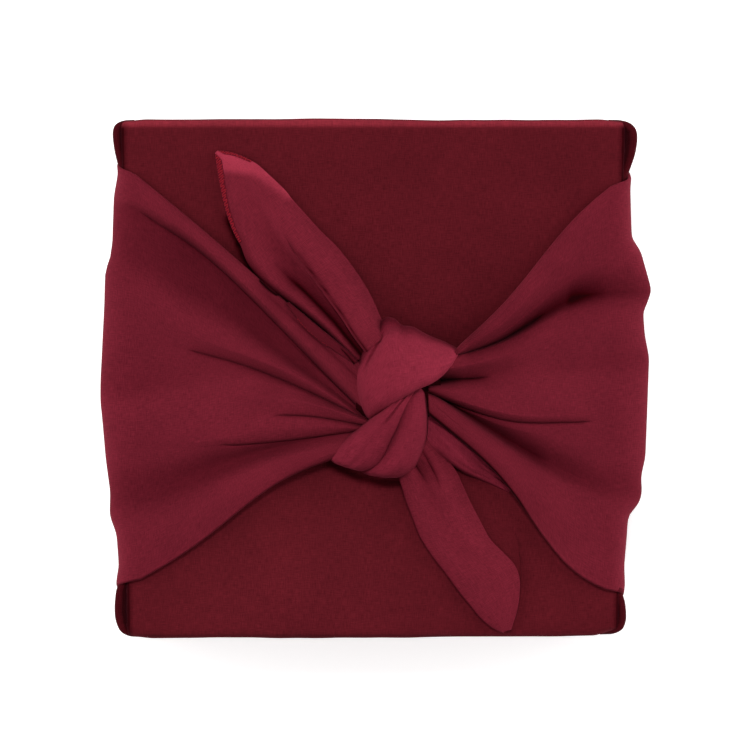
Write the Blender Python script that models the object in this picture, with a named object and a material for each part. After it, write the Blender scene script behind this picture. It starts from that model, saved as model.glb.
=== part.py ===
"""A furoshiki wrap: one square cloth folded round a gift box, gathered from left and right and tied on top.

Sizes and tables are in millimetres, and MM turns them into Blender's metres. The origin is on the floor
under the middle of the wrapped box, with +X to the right, +Y to the back and +Z up.
"""

import math

import bmesh
import bpy
import numpy as np

MM = 0.001

# The wrapped box
WRAP_DEPTH = 246.6  # back wall to front wall
WRAP_HEIGHT = 80.0  # floor to the flat flap on top
BACK_HALF_WIDTH = 120.0  # the flap is a little narrower at the front than at the back
FRONT_HALF_WIDTH = 117.0
WRAP_EDGE_RADIUS = 4.0
CLOTH = 1.8  # thickness of the cloth
BOX_CLEARANCE = 2.2  # between the cloth and the box's sides and lid
BOX_GAP_BELOW = 0.3
BOX_EDGE_RADIUS = 2.0
BEVEL_SEGMENTS = 3
SAME_POINT = 0.004  # points nearer than this after a join are one

# The wings
WING_CLOTH = 1.7
WING_FOOT = 4.0  # height of a wing's lowest row, inside the wall that it grows from
WING_FOOT_INSET = 0.5
WING_FOOT_HALF_SPAN = 118.0  # half the wing's width where it leaves the floor
WING_BULGE_EASE = 1.3  # how late, on its way up the wall, a wing swells to its full reach
SHOULDER_INSET = 7.0  # how far in from the wall a wing's rounded shoulder ends
SHOULDER_DROP = 7.0  # how far below the flap it begins
WALL_ROWS = 5
SHOULDER_ROWS = 4
TOP_ROWS = 12
UNDER_KNOT = 14.0  # how far a wing runs on under the knot
PER_FOLD = 2  # mesh columns from one fold line to the next

# Corner pleats
PLEAT_CLOTH = 1.2
PLEAT_RIM_DROP = 1.0  # rim of the pleat below the flap
PLEAT_FOOT = 4.5
PLEAT_FOOT_INSET = 0.6  # at the floor the pleat lies inside the wall that it grows from
PLEAT_LEVELS = (0.0, 0.3, 0.6, 1.0)  # shares of its height; it is fullest at the rim
PLEAT_STEPS = 9
PLEAT_START_IN = 6.0  # it leaves the end wall this far in from the corner
PLEAT_START_DEPTH = 1.0  # and this deep inside that wall
PLEAT_CORNER_IN = 1.0  # it turns the corner just inside it
PLEAT_CORNER_DEPTH = 0.8
PLEAT_ROUND_IN = 0.7  # its round, before the full reach
PLEAT_ROUND_AHEAD = 6.5
PLEAT_WAIST = 1.2  # halfway from the reach to the dive it is this much slimmer
PLEAT_WAIST_SHIFT = 1.0
PLEAT_DIVE_INSET = 0.4  # it dives inside the side wall
SLOT_WINDOW_LOW = 24.0  # the slot opens into the wrap between these depths below the flap
SLOT_WINDOW_HIGH = 8.0
SLOT_WINDOW_PAST_DIVE = 8.0  # and from this far past the dive
SLOT_WINDOW_PAST_REACH = 3.0  # to this far past the reach
SLOT_WINDOW_INSIDE = 1.0  # it clears the wall's inner face by this much
SLOT_WINDOW_OUTSIDE = 0.6  # and its outer face by this much

# Mesh steps of the knot and the tails
BAND_STEPS = 12
BAND_SIDES = 12
BAND_FULLNESS = 0.8
TAIL_STEPS = 16
TAIL_COLUMNS = 8
TAIL_CLOTH = 2.0

# Fold lines of the wings, from the back edge to the front edge. A wing has four stations from the side of
# the box to the knot. Each row gives the line's reach from the middle plane at the side, its place (y) at
# the four stations, and its rise above the flap there.
LEFT_STATIONS = (119.0, 11.0)
LEFT_FOLDS = (
    # name          reach  y at the four stations        rise at the four stations
    ("back edge", 122.8, (101.4, 77.2, 43.5, 11.2), (2.4, 2.4, 4.0, 9.0)),
    ("back roll", 122.6, (92.0, 70.5, 36.5, 2.0), (3.6, 6.0, 9.0, 15.0)),
    ("first crease", 123.8, (83.4, 62.0, 27.8, -9.3), (2.8, 3.2, 5.0, 10.5)),
    ("crease shoulder", 124.0, (80.4, 58.0, 24.2, -10.4), (3.2, 4.8, 7.6, 13.0)),
    ("wide valley", 124.6, (70.0, 45.0, 15.4, -12.0), (2.4, 3.0, 5.4, 11.5)),
    ("middle ridge", 128.0, (37.3, 19.2, 6.2, -13.3), (3.6, 6.6, 9.6, 15.0)),
    ("second crease", 129.2, (15.9, 12.6, 1.7, -14.6), (3.4, 5.4, 6.6, 12.0)),
    ("soft dip", 130.0, (-8.8, 3.1, -2.8, -15.9), (2.8, 5.2, 8.2, 14.0)),
    ("crown", 128.8, (-26.5, -23.0, -13.6, -18.4), (4.2, 8.2, 11.2, 16.5)),
    ("third crease", 128.2, (-32.0, -30.0, -24.0, -22.0), (4.0, 7.6, 10.6, 14.5)),
    ("fourth crease", 127.6, (-36.0, -33.4, -29.7, -25.0), (3.8, 6.8, 8.6, 13.5)),
    ("front valley", 125.6, (-63.4, -47.3, -36.3, -29.2), (2.6, 4.0, 7.0, 13.0)),
    ("front roll", 121.8, (-82.0, -63.5, -43.5, -32.6), (3.8, 6.0, 9.0, 14.0)),
    ("front edge", 122.4, (-98.6, -77.2, -50.6, -36.3), (2.4, 2.4, 5.0, 10.0)),
)
RIGHT_STATIONS = (119.0, 38.0)
RIGHT_FOLDS = (
    ("back edge", 123.0, (95.2, 73.9, 38.2, 12.6), (2.4, 2.4, 4.2, 12.0)),
    ("back roll", 123.6, (76.0, 61.0, 31.5, 11.8), (4.4, 6.8, 10.0, 17.0)),
    ("roll front", 131.0, (52.5, 40.6, 21.5, 10.9), (3.6, 5.0, 7.6, 15.0)),
    ("dark valley", 132.8, (43.0, 33.5, 19.2, 10.1), (2.4, 2.6, 5.2, 13.0)),
    ("ridge back", 129.4, (33.0, 26.0, 16.4, 9.2), (2.8, 5.0, 7.8, 14.5)),
    ("middle ridge", 129.6, (23.0, 17.5, 10.0, 6.0), (4.0, 7.0, 10.0, 17.0)),
    ("soft valley", 131.4, (9.0, 6.0, 2.6, 1.7), (3.4, 6.2, 8.8, 14.0)),
    ("broad ridge", 131.0, (-7.0, -8.0, -8.0, -4.5), (4.0, 7.6, 10.6, 16.0)),
    ("crease lip", 130.6, (-18.4, -18.6, -18.0, -10.6), (3.9, 7.2, 9.8, 15.0)),
    ("long crease", 130.2, (-21.6, -21.8, -21.4, -12.9), (3.6, 5.4, 6.4, 11.0)),
    ("front valley", 129.4, (-40.0, -36.0, -28.0, -14.6), (2.6, 3.0, 5.4, 11.0)),
    ("roll back", 126.0, (-60.0, -50.5, -33.5, -16.2), (3.0, 4.4, 7.2, 13.0)),
    ("front roll", 121.0, (-82.0, -68.0, -43.5, -21.5), (4.2, 6.6, 9.6, 14.0)),
    ("front edge", 119.9, (-101.9, -84.3, -52.0, -27.3), (2.4, 2.4, 5.4, 10.0)),
)

# Corner pleats: side and end, how far the pleat reaches out and where, and where it dives under the wing
PLEATS = (
    # side, end, reach, y of the reach, y of the dive
    (-1, 1, 123.2, 112.5, 97.0),
    (1, 1, 125.4, 113.0, 94.0),
    (-1, -1, 122.8, 112.0, 94.0),
    (1, -1, 120.2, 112.0, 97.0),
)

# The knot's bands, each a rounded strap: x, y, rise above the flap, half width, half height
KNOT_BANDS = {
    "upper": (
        (43.5, 8.8, 14.5, 4.4, 4.0),
        (35.5, 8.6, 17.5, 6.8, 6.0),
        (24.7, 9.3, 20.0, 10.2, 8.5),
        (13.8, 7.4, 21.5, 14.7, 10.0),
        (4.8, 0.2, 19.5, 13.8, 9.5),
        (-1.0, -9.3, 15.0, 9.6, 7.5),
        (-3.3, -17.5, 11.0, 4.6, 4.0),
    ),
    "upper edge": (
        (7.6, 27.3, 12.0, 2.2, 2.0),
        (1.9, 19.2, 15.0, 2.9, 3.0),
        (-4.3, 11.6, 16.5, 3.8, 4.0),
        (-7.6, 2.1, 16.0, 3.8, 5.0),
        (-6.6, -8.3, 14.0, 3.3, 4.0),
        (-4.9, -15.6, 12.6, 1.8, 2.2),
    ),
    "lower left": (
        (16.6, -8.2, 14.5, 4.0, 4.0),
        (10.0, -15.4, 16.5, 7.4, 6.5),
        (1.6, -24.0, 16.0, 10.4, 8.0),
        (-7.4, -31.6, 13.5, 10.4, 7.5),
        (-15.0, -36.4, 10.5, 7.0, 5.5),
        (-19.6, -38.4, 8.5, 3.0, 3.0),
    ),
    "lower right": (
        (21.0, -1.6, 14.5, 4.6, 4.0),
        (19.3, -12.0, 17.0, 6.6, 6.5),
        (18.0, -22.1, 17.0, 7.8, 7.5),
        (15.2, -32.0, 15.0, 8.6, 7.5),
        (9.4, -39.6, 12.0, 7.6, 6.5),
        (1.9, -43.8, 9.5, 4.6, 4.5),
        (-4.2, -44.6, 8.0, 2.0, 2.5),
    ),
    "neck": (
        (-22.0, -11.0, 8.0, 9.0, 4.0),
        (-6.0, -11.5, 8.0, 14.0, 6.0),
        (10.0, -9.0, 8.5, 16.0, 7.0),
        (26.0, -5.0, 8.5, 15.0, 7.0),
        (44.0, -3.0, 9.0, 11.0, 4.0),
    ),
}

# The tails, from the knot to the tip: left edge x, y, rise; right edge x, y, rise; rise of the middle
TAILS = {
    "back": (
        (-12.0, 12.0, 14.0, 9.0, 26.0, 14.0, 17.0),
        (-32.8, 31.6, 13.0, -4.3, 46.3, 10.0, 15.5),
        (-50.4, 44.4, 11.0, -19.5, 63.4, 6.5, 14.5),
        (-62.7, 63.4, 8.0, -34.7, 80.0, 5.0, 13.5),
        (-69.1, 77.9, 5.0, -48.0, 93.8, 4.0, 10.5),
        (-72.4, 92.0, 3.0, -60.8, 103.8, 3.0, 6.5),
        (-74.5, 107.0, 2.4, -71.5, 108.2, 2.4, 2.8),
    ),
    "front": (
        (11.0, -40.0, 9.0, 35.0, -37.0, 9.0, 12.0),
        (14.8, -54.0, 5.0, 44.2, -53.0, 6.0, 10.0),
        (20.4, -70.5, 3.6, 53.7, -70.5, 4.5, 9.5),
        (30.0, -84.8, 3.2, 63.7, -84.3, 4.0, 8.5),
        (42.3, -102.4, 2.8, 68.9, -99.5, 3.2, 6.5),
        (54.2, -116.2, 2.4, 67.0, -112.8, 2.8, 3.8),
        (62.5, -119.8, 2.4, 64.8, -119.4, 2.4, 2.6),
    ),
}

BURGUNDY = (0.150, 0.0125, 0.026, 1.0)
CARTON = (0.55, 0.47, 0.36, 1.0)


def clear_scene():
    for obj in list(bpy.data.objects):
        bpy.data.objects.remove(obj, do_unlink=True)


def material(name, colour, roughness):
    made = bpy.data.materials.new(name)
    made.use_nodes = True
    shader = made.node_tree.nodes["Principled BSDF"]
    shader.inputs["Base Color"].default_value = colour
    shader.inputs["Roughness"].default_value = roughness
    shader.inputs["Metallic"].default_value = 0.0
    return made


def new_object(name, bm):
    bmesh.ops.recalc_face_normals(bm, faces=bm.faces)
    mesh = bpy.data.meshes.new(name)
    bm.to_mesh(mesh)
    bm.free()
    obj = bpy.data.objects.new(name, mesh)
    bpy.context.collection.objects.link(obj)
    return obj


def as_helper(obj):
    """A piece that is only joined to, or cut from, another."""
    obj.hide_render = True
    obj.display_type = "WIRE"
    return obj


def half_width(y):
    """Half the wrapped box's width at a distance y from its middle."""
    share = 0.5 + y / WRAP_DEPTH
    return FRONT_HALF_WIDTH + (BACK_HALF_WIDTH - FRONT_HALF_WIDTH) * share


def tapered_block(name, inset, low, high, radius):
    """The wrapped box's plan, drawn in by inset, from low to high, with rounded edges."""
    bm = bmesh.new()
    bmesh.ops.create_cube(bm, size=2.0)
    for vert in bm.verts:
        end = WRAP_DEPTH / 2 * vert.co.y
        x = (half_width(end) - inset) * vert.co.x
        y = end - inset * vert.co.y
        z = high if vert.co.z > 0 else low
        vert.co = (x * MM, y * MM, z * MM)
    bmesh.ops.bevel(
        bm,
        geom=bm.edges[:],
        offset=radius * MM,
        segments=BEVEL_SEGMENTS,
        profile=0.5,
        affect="EDGES",
    )
    return new_object(name, bm)


def block(name, low, high):
    bm = bmesh.new()
    bmesh.ops.create_cube(bm, size=1.0)
    for vert in bm.verts:
        vert.co = [
            MM * (low[i] + (high[i] - low[i]) * (vert.co[i] + 0.5)) for i in range(3)
        ]
    return new_object(name, bm)


def through_rows(rows, steps):
    """Points on a smooth curve through the rows, ends included, with every column carried along."""
    rows = np.array(rows, float)
    padded = np.vstack([2 * rows[0] - rows[1], rows, 2 * rows[-1] - rows[-2]])
    place = np.linspace(0, len(rows) - 1, steps)
    first = np.minimum(place.astype(int), len(rows) - 2)
    t = (place - first)[:, None]
    p0, p1, p2, p3 = (padded[first + k] for k in range(4))
    return 0.5 * (
        2 * p1
        + (p2 - p0) * t
        + (2 * p0 - 5 * p1 + 4 * p2 - p3) * t**2
        + (3 * p1 - p0 - 3 * p2 + p3) * t**3
    )


def along_stations(values, share):
    """The cubic through four values at shares 0, 1/3, 2/3 and 1 of the way, at the given share."""
    nodes = (0.0, 1 / 3, 2 / 3, 1.0)
    total = 0.0
    for i, value in enumerate(values):
        weight = 1.0
        for j, node in enumerate(nodes):
            if j != i:
                weight *= (share - node) / (nodes[i] - node)
        total += value * weight
    return total


def rounded_between(places, heights, per_gap):
    """Heights between given ones that round over each ridge and valley and never pass it."""
    steps = np.diff(places)
    rates = np.diff(heights) / steps
    slopes = np.zeros(len(places))
    for i in range(1, len(places) - 1):
        if rates[i - 1] * rates[i] > 0:
            near = 2 * steps[i] + steps[i - 1]
            far = steps[i] + 2 * steps[i - 1]
            slopes[i] = (near + far) / (near / rates[i - 1] + far / rates[i])
    slopes[0], slopes[-1] = rates[0], rates[-1]
    made_places, made_heights = [places[0]], [heights[0]]
    for i, step in enumerate(steps):
        for k in range(1, per_gap + 1):
            t = k / per_gap
            rise = heights[i + 1] - heights[i]
            blend = 3 * t**2 - 2 * t**3
            bend = slopes[i] * (t**3 - 2 * t**2 + t) + slopes[i + 1] * (t**3 - t**2)
            made_places.append(places[i] + step * t)
            made_heights.append(heights[i] + rise * blend + bend * step)
    return np.array(made_places), np.array(made_heights)


def closed_sheet(name, outer, inward):
    """A grid of points thickened along one vector for each row, and closed round its rim."""
    rows, columns = outer.shape[:2]
    inner = outer + inward[:, None, :]
    bm = bmesh.new()
    skins = []
    for skin in (outer, inner):
        skins.append([[bm.verts.new(p * MM) for p in row] for row in skin])
    top, under = skins
    for i in range(rows - 1):
        for j in range(columns - 1):
            for skin in skins:
                bm.faces.new((skin[i][j], skin[i][j + 1], skin[i + 1][j + 1], skin[i + 1][j]))
    for i in range(rows - 1):
        for j in (0, columns - 1):
            bm.faces.new((top[i][j], top[i + 1][j], under[i + 1][j], under[i][j]))
    for j in range(columns - 1):
        for i in (0, rows - 1):
            bm.faces.new((top[i][j], top[i][j + 1], under[i][j + 1], under[i][j]))
    return new_object(name, bm)


def wing(name, side, stations, folds):
    """A gathered corner of the cloth: up the wall from the floor, over the box's edge and in to the knot."""
    reach = np.array([row[1] for row in folds])
    start, end = stations
    first_share = SHOULDER_INSET / (start - end)
    last_share = 1 + UNDER_KNOT / (start - end)
    rows, inward = [], []

    def section(share):
        y = np.array([along_stations(row[2], share) for row in folds])
        rise = np.array([along_stations(row[3], share) for row in folds])
        return y, rise

    y_side, _ = section(0.0)
    flare = WING_FOOT_HALF_SPAN / np.abs(y_side).max() - 1
    side_places, reach_fine = rounded_between(-y_side, reach, PER_FOLD)
    y_fine = -side_places
    wall = half_width(y_fine)
    low, high = WING_FOOT, WRAP_HEIGHT - SHOULDER_DROP
    for k in range(WALL_ROWS):
        share = k / WALL_ROWS
        y = y_fine * (1 + flare * (1 - share))
        out = half_width(y) - WING_FOOT_INSET
        bulge = math.sin(math.pi / 2 * share) ** WING_BULGE_EASE
        x = out + (reach_fine - out) * bulge
        z = np.full_like(x, low + (high - low) * share)
        rows.append(np.stack([side * x, y, z], axis=1))
        inward.append((-side * WING_CLOTH, 0.0, 0.0))
    for k in range(SHOULDER_ROWS):
        turn = math.pi / 2 * k / SHOULDER_ROWS
        y, rise = section(first_share * k / SHOULDER_ROWS)
        places, rise_fine = rounded_between(-y, rise, PER_FOLD)
        x = wall - SHOULDER_INSET + (reach_fine - wall + SHOULDER_INSET) * math.cos(turn)
        z = high + (SHOULDER_DROP + rise_fine) * math.sin(turn)
        rows.append(np.stack([side * x, -places, z], axis=1))
        inward.append((-side * WING_CLOTH * math.cos(turn), 0.0, -WING_CLOTH * math.sin(turn)))
    for k in range(TOP_ROWS):
        share = first_share + (last_share - first_share) * k / (TOP_ROWS - 1)
        y, rise = section(share)
        places, rise_fine = rounded_between(-y, rise, PER_FOLD)
        from_start = (share - first_share) / (1 - first_share)
        x = (wall - SHOULDER_INSET) * (1 - from_start) + end * from_start
        rows.append(np.stack([side * x, -places, WRAP_HEIGHT + rise_fine], axis=1))
        inward.append((0.0, 0.0, -WING_CLOTH))
    return closed_sheet(name, np.array(rows), np.array(inward))


def corner_pleat(name, side, end, reach, reach_y, dive_y):
    """The cloth of the end wall turned round the corner: it stands off the flap's edge and leaves a slot."""
    corner = half_width(end * reach_y)
    back = WRAP_DEPTH / 2
    plan = (
        (corner - PLEAT_START_IN, back - PLEAT_START_DEPTH),
        (corner - PLEAT_CORNER_IN, back - PLEAT_CORNER_DEPTH),
        (reach - PLEAT_ROUND_IN, reach_y + PLEAT_ROUND_AHEAD),
        (reach, reach_y),
        (reach - PLEAT_WAIST, (reach_y + dive_y) / 2 - PLEAT_WAIST_SHIFT),
        (half_width(end * dive_y) - PLEAT_DIVE_INSET, dive_y),
    )
    path = through_rows(plan, PLEAT_STEPS)
    height = WRAP_HEIGHT - PLEAT_RIM_DROP - PLEAT_FOOT
    grid = []
    for x, y in path:
        close = min(x, half_width(end * y) - PLEAT_FOOT_INSET)
        column = []
        for level in PLEAT_LEVELS:
            fullness = math.sin(math.pi / 2 * level)
            out = close + (x - close) * fullness
            column.append((side * out, end * y, PLEAT_FOOT + height * level))
        grid.append(column)
    grid = np.array(grid)
    run = np.gradient(path, axis=0)
    length = np.hypot(run[:, 0], run[:, 1])
    inward = PLEAT_CLOTH * np.stack(
        [side * run[:, 1] / length, -end * run[:, 0] / length, np.zeros(len(run))], axis=1
    )
    return closed_sheet(name, grid, inward)


def fuller(value):
    """A sine or cosine drawn out towards its ends, so that a ring is fuller than an ellipse."""
    return math.copysign(abs(value) ** BAND_FULLNESS, value)


def band(name, rows):
    """A rounded strap of gathered cloth through the centres in rows."""
    line = through_rows(rows, BAND_STEPS)
    run = np.gradient(line[:, :2], axis=0)
    across = np.stack([-run[:, 1], run[:, 0]], axis=1) / np.hypot(*run.T)[:, None]
    bm = bmesh.new()
    rings = []
    for (x, y, rise, half, tall), (ax, ay) in zip(line, across):
        ring = []
        for k in range(BAND_SIDES):
            angle = 2 * math.pi * k / BAND_SIDES
            out = half * fuller(math.cos(angle))
            up = tall * fuller(math.sin(angle))
            spot = (x + ax * out, y + ay * out, WRAP_HEIGHT + rise + up)
            ring.append(bm.verts.new([MM * c for c in spot]))
        rings.append(ring)
    for here, there in zip(rings, rings[1:]):
        for k in range(BAND_SIDES):
            after = (k + 1) % BAND_SIDES
            bm.faces.new((here[k], here[after], there[after], there[k]))
    bm.faces.new(rings[0])
    bm.faces.new(rings[-1])
    return new_object(name, bm)


def tail(name, rows):
    """A free corner of the cloth: an arched leaf from the knot to its tip."""
    line = through_rows(rows, TAIL_STEPS)
    grid = []
    for left_x, left_y, left_z, right_x, right_y, right_z, middle in line:
        row = []
        for k in range(TAIL_COLUMNS + 1):
            t = k / TAIL_COLUMNS
            edge = left_z + (right_z - left_z) * t
            arch = (middle - (left_z + right_z) / 2) * math.sin(math.pi * t)
            x = left_x + (right_x - left_x) * t
            y = left_y + (right_y - left_y) * t
            row.append((x, y, WRAP_HEIGHT + edge + arch))
        grid.append(row)
    inward = np.tile((0.0, 0.0, -TAIL_CLOTH), (len(grid), 1))
    return closed_sheet(name, np.array(grid), inward)


def slot_window(name, side, end, reach_y, dive_y):
    """Where a corner slot goes on into the wrap, between the flap's edge and the pleat."""
    wall = half_width(end * reach_y)
    near, far = dive_y + SLOT_WINDOW_PAST_DIVE, reach_y + SLOT_WINDOW_PAST_REACH
    xs = sorted((side * (wall - CLOTH - SLOT_WINDOW_INSIDE), side * (wall + SLOT_WINDOW_OUTSIDE)))
    ys = sorted((end * near, end * far))
    low, high = WRAP_HEIGHT - SLOT_WINDOW_LOW, WRAP_HEIGHT - SLOT_WINDOW_HIGH
    return block(name, (xs[0], ys[0], low), (xs[1], ys[1], high))


def boolean(obj, operation, pieces):
    """Joins or cuts a group of pieces in one step, and keeps the result as the object's own mesh."""
    group = bpy.data.collections.new(f"{obj.name} {operation.lower()}")
    bpy.context.scene.collection.children.link(group)
    for piece in pieces:
        bpy.context.collection.objects.unlink(piece)
        group.objects.link(as_helper(piece))
    modifier = obj.modifiers.new(operation.title(), "BOOLEAN")
    modifier.operation = operation
    modifier.operand_type = "COLLECTION"
    modifier.collection = group
    # The manifold solver joins thin layers that cross at a shallow angle, with no open edge between them
    modifier.solver = "MANIFOLD" if operation == "UNION" else "EXACT"
    graph = bpy.context.evaluated_depsgraph_get()
    made = bpy.data.meshes.new_from_object(obj.evaluated_get(graph))
    obj.modifiers.remove(modifier)
    obj.data = made
    for piece in pieces:
        bpy.data.objects.remove(piece, do_unlink=True)
    bpy.data.collections.remove(group)


def islands(bm):
    """The separate shells of a mesh, as lists of faces."""
    left = set(bm.faces)
    while left:
        found, edge = [], [left.pop()]
        while edge:
            face = edge.pop()
            found.append(face)
            for side in face.edges:
                for other in side.link_faces:
                    if other in left:
                        left.remove(other)
                        edge.append(other)
        yield found


def signed_volume(faces):
    total = 0.0
    for face in faces:
        points = [vert.co for vert in face.verts]
        for a, b in zip(points[1:], points[2:]):
            total += points[0].dot(a.cross(b)) / 6
    return total


def close_pockets(obj):
    """Where layers press together, the sealed pockets between them are closed."""
    bm = bmesh.new()
    bm.from_mesh(obj.data)
    bmesh.ops.remove_doubles(bm, verts=bm.verts, dist=SAME_POINT * MM)
    shells = sorted(islands(bm), key=signed_volume)
    for shell in shells[:-1]:
        bmesh.ops.delete(bm, geom=shell, context="FACES")
    loose = [vert for vert in bm.verts if not vert.link_faces]
    bmesh.ops.delete(bm, geom=loose, context="VERTS")
    bm.to_mesh(obj.data)
    bm.free()


def build_cloth():
    cloth = tapered_block("furoshiki_cloth", 0.0, 0.0, WRAP_HEIGHT, WRAP_EDGE_RADIUS)
    hollow = tapered_block(
        "hollow", CLOTH, CLOTH, WRAP_HEIGHT - CLOTH, WRAP_EDGE_RADIUS - CLOTH
    )
    windows = [
        slot_window(f"window {k}", side, end, reach_y, dive_y)
        for k, (side, end, _, reach_y, dive_y) in enumerate(PLEATS)
    ]
    boolean(cloth, "DIFFERENCE", [hollow] + windows)
    pieces = [
        wing("left wing", -1, LEFT_STATIONS, LEFT_FOLDS),
        wing("right wing", 1, RIGHT_STATIONS, RIGHT_FOLDS),
    ]
    pieces += [corner_pleat(f"pleat {k}", *row) for k, row in enumerate(PLEATS)]
    pieces += [band(name, rows) for name, rows in KNOT_BANDS.items()]
    pieces += [tail(f"{name} tail", rows) for name, rows in TAILS.items()]
    boolean(cloth, "UNION", pieces)
    close_pockets(cloth)
    cloth.data.materials.clear()
    cloth.data.materials.append(material("burgundy cotton", BURGUNDY, 0.85))


def build_box():
    inset = CLOTH + BOX_CLEARANCE
    box = tapered_block(
        "gift_box",
        inset,
        CLOTH + BOX_GAP_BELOW,
        WRAP_HEIGHT - inset,
        BOX_EDGE_RADIUS,
    )
    box.data.materials.append(material("plain carton", CARTON, 0.7))


clear_scene()
build_cloth()
build_box()
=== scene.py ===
"""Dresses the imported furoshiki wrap: the cotton of its wrap, wings, knot and tails, and its stitched hem.

Tables and sizes are in millimetres in the frame's own axes, and MM turns them into metres.
"""

import math

import bpy
import numpy as np
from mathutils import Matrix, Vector
from mathutils.bvhtree import BVHTree


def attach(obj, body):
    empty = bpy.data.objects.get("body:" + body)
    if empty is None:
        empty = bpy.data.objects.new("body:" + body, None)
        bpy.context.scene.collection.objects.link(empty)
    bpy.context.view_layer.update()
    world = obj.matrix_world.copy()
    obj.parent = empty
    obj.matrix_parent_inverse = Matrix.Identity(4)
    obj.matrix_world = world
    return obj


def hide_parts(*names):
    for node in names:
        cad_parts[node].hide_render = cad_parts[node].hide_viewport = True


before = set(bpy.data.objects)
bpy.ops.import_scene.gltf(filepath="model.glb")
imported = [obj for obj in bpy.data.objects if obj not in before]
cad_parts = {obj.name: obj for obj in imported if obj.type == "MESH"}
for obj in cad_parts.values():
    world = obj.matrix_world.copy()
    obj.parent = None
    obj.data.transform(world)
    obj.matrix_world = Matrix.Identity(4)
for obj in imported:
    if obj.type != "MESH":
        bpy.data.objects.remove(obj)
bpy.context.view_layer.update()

MM = 0.001
BODY = "root"
CLOTH_NODE = "furoshiki_cloth"
BOX_NODE = "gift_box"

# The wrapped box, as in the frame
WRAP_DEPTH = 246.6
WRAP_HEIGHT = 80.0
BACK_HALF_WIDTH = 120.0
FRONT_HALF_WIDTH = 117.0

SIDE_FOLD_RADIUS = 1.8
END_FOLD_RADIUS = 4.5

COTTON = 0.7  # thickness of the cloth as drawn

# Photo frame
PHOTO_SIDE = 750
MM_PER_PIXEL = 0.475
MIDDLE_PIXEL = (373.0, 378.5)
CAMERA_HEIGHT = 2400.0
SENSOR = 36.0

# A wing's folds run from the box's side to the knot, past four stations between these two |x|. Each has a
# name, its y at the stations and its rise above the flap there.
LEFT_STATIONS = (119.0, 11.0)
LEFT_FOLDS = (
    ("back edge", (101.4, 71.8, 40.5, 10.5), (3.4, 5.2, 8, 13)),
    ("roll top", (95.5, 69, 37, 4), (3.9, 6.2, 9.4, 15)),
    ("back roll", (88, 65.5, 31.6, -5), (3.7, 6.2, 9.2, 14.5)),
    ("first crease", (83.4, 62.4, 28.6, -8.6), (2.8, 3.2, 5, 10)),
    ("crease shoulder", (79, 57.5, 24.8, -10), (2.2, 2.6, 5, 11)),
    ("wide valley", (70, 47, 17.4, -11.4), (1.8, 2.2, 4.6, 11)),
    ("middle ridge", (37.3, 19.2, 6.2, -13.3), (3.6, 6.6, 9.6, 15)),
    ("second crease", (15.9, 12.6, 1.7, -14.6), (3.4, 5.4, 6.6, 12)),
    ("soft dip", (-6, 2.6, -3.2, -15.9), (2.8, 5.2, 8.4, 14)),
    ("crown", (-22, -17, -10.5, -17.6), (4.2, 8, 10.8, 16)),
    ("third crease", (-29, -26.5, -17.6, -20.4), (4.1, 7.8, 10.2, 14)),
    ("lower crown", (-32.5, -29.6, -23.5, -22.6), (4, 7.4, 10.2, 15)),
    ("fourth crease", (-36, -32.4, -29.4, -24.8), (3.8, 6.6, 8, 13)),
    ("front valley", (-57, -45, -33.4, -27), (2.2, 3, 5.4, 12)),
    ("roll back", (-68, -54.5, -39.6, -29.8), (3.4, 5.4, 8.6, 13.6)),
    ("front roll", (-88, -67.5, -45.5, -32.6), (4.2, 6.4, 9.4, 14)),
    ("front edge", (-98, -76.4, -49.4, -35), (4, 6, 8.8, 13)),
)
# The outline that a wing's side shows from above: y, |x|
LEFT_OUTLINE = (
    (102.8, 122.8), (98.6, 121.4), (86.7, 123.5), (64.8, 124.2), (56.8, 125.4), (51.5, 127.6),
    (34, 128.1), (-2.1, 129.9), (-11.2, 129.9), (-17.3, 129.2), (-38.7, 127.3), (-53.9, 125.2),
    (-65.3, 125.5), (-73.9, 122.2), (-89.5, 121.1), (-97.6, 122.6), (-99, 120.2),
)
RIGHT_STATIONS = (119.0, 38.0)
RIGHT_FOLDS = (
    ("back edge", (95.6, 71.6, 38.4, 12.4), (3.8, 5.6, 8.6, 15)),
    ("roll top", (88, 68.5, 35.5, 12.2), (4.4, 6.6, 9.8, 16.5)),
    ("back roll", (74, 58.5, 30.5, 11.9), (4.4, 6.8, 9.8, 16.5)),
    ("roll front", (56, 46, 24.6, 11.5), (3.6, 5.2, 7.6, 14.5)),
    ("dark valley", (41, 36.6, 20.6, 11), (2, 2.2, 4.6, 11.5)),
    ("ridge back", (36.4, 32.2, 18.2, 10.2), (3.2, 5.4, 8.4, 14.5)),
    ("middle ridge", (25, 21, 11.5, 5.6), (4, 7.2, 10.4, 16)),
    ("soft valley", (9, 6, 1.8, -0.4), (3, 5.4, 7.6, 9)),
    ("broad ridge", (-7, -8, -8, -5.6), (4, 7.6, 10.6, 16)),
    ("crease lip", (-17.4, -17.4, -16.4, -9.2), (4, 7.6, 10.6, 15.5)),
    ("long crease", (-20.4, -20.4, -19.6, -11.2), (4, 7.3, 8.6, 10.5)),
    ("valley shoulder", (-34, -29, -23.4, -12), (3.8, 6.8, 7, 9.8)),
    ("front valley", (-55, -43.5, -29, -12.8), (1.4, 1.8, 3.4, 8)),
    ("roll back", (-61.5, -51, -34.4, -14.6), (3.6, 5.6, 9, 14.5)),
    ("front roll", (-84, -68, -43, -20), (4.2, 6.8, 10.4, 16)),
    ("front edge", (-101.6, -86, -51, -25.6), (4, 6.2, 9.2, 14.5)),
)
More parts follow.
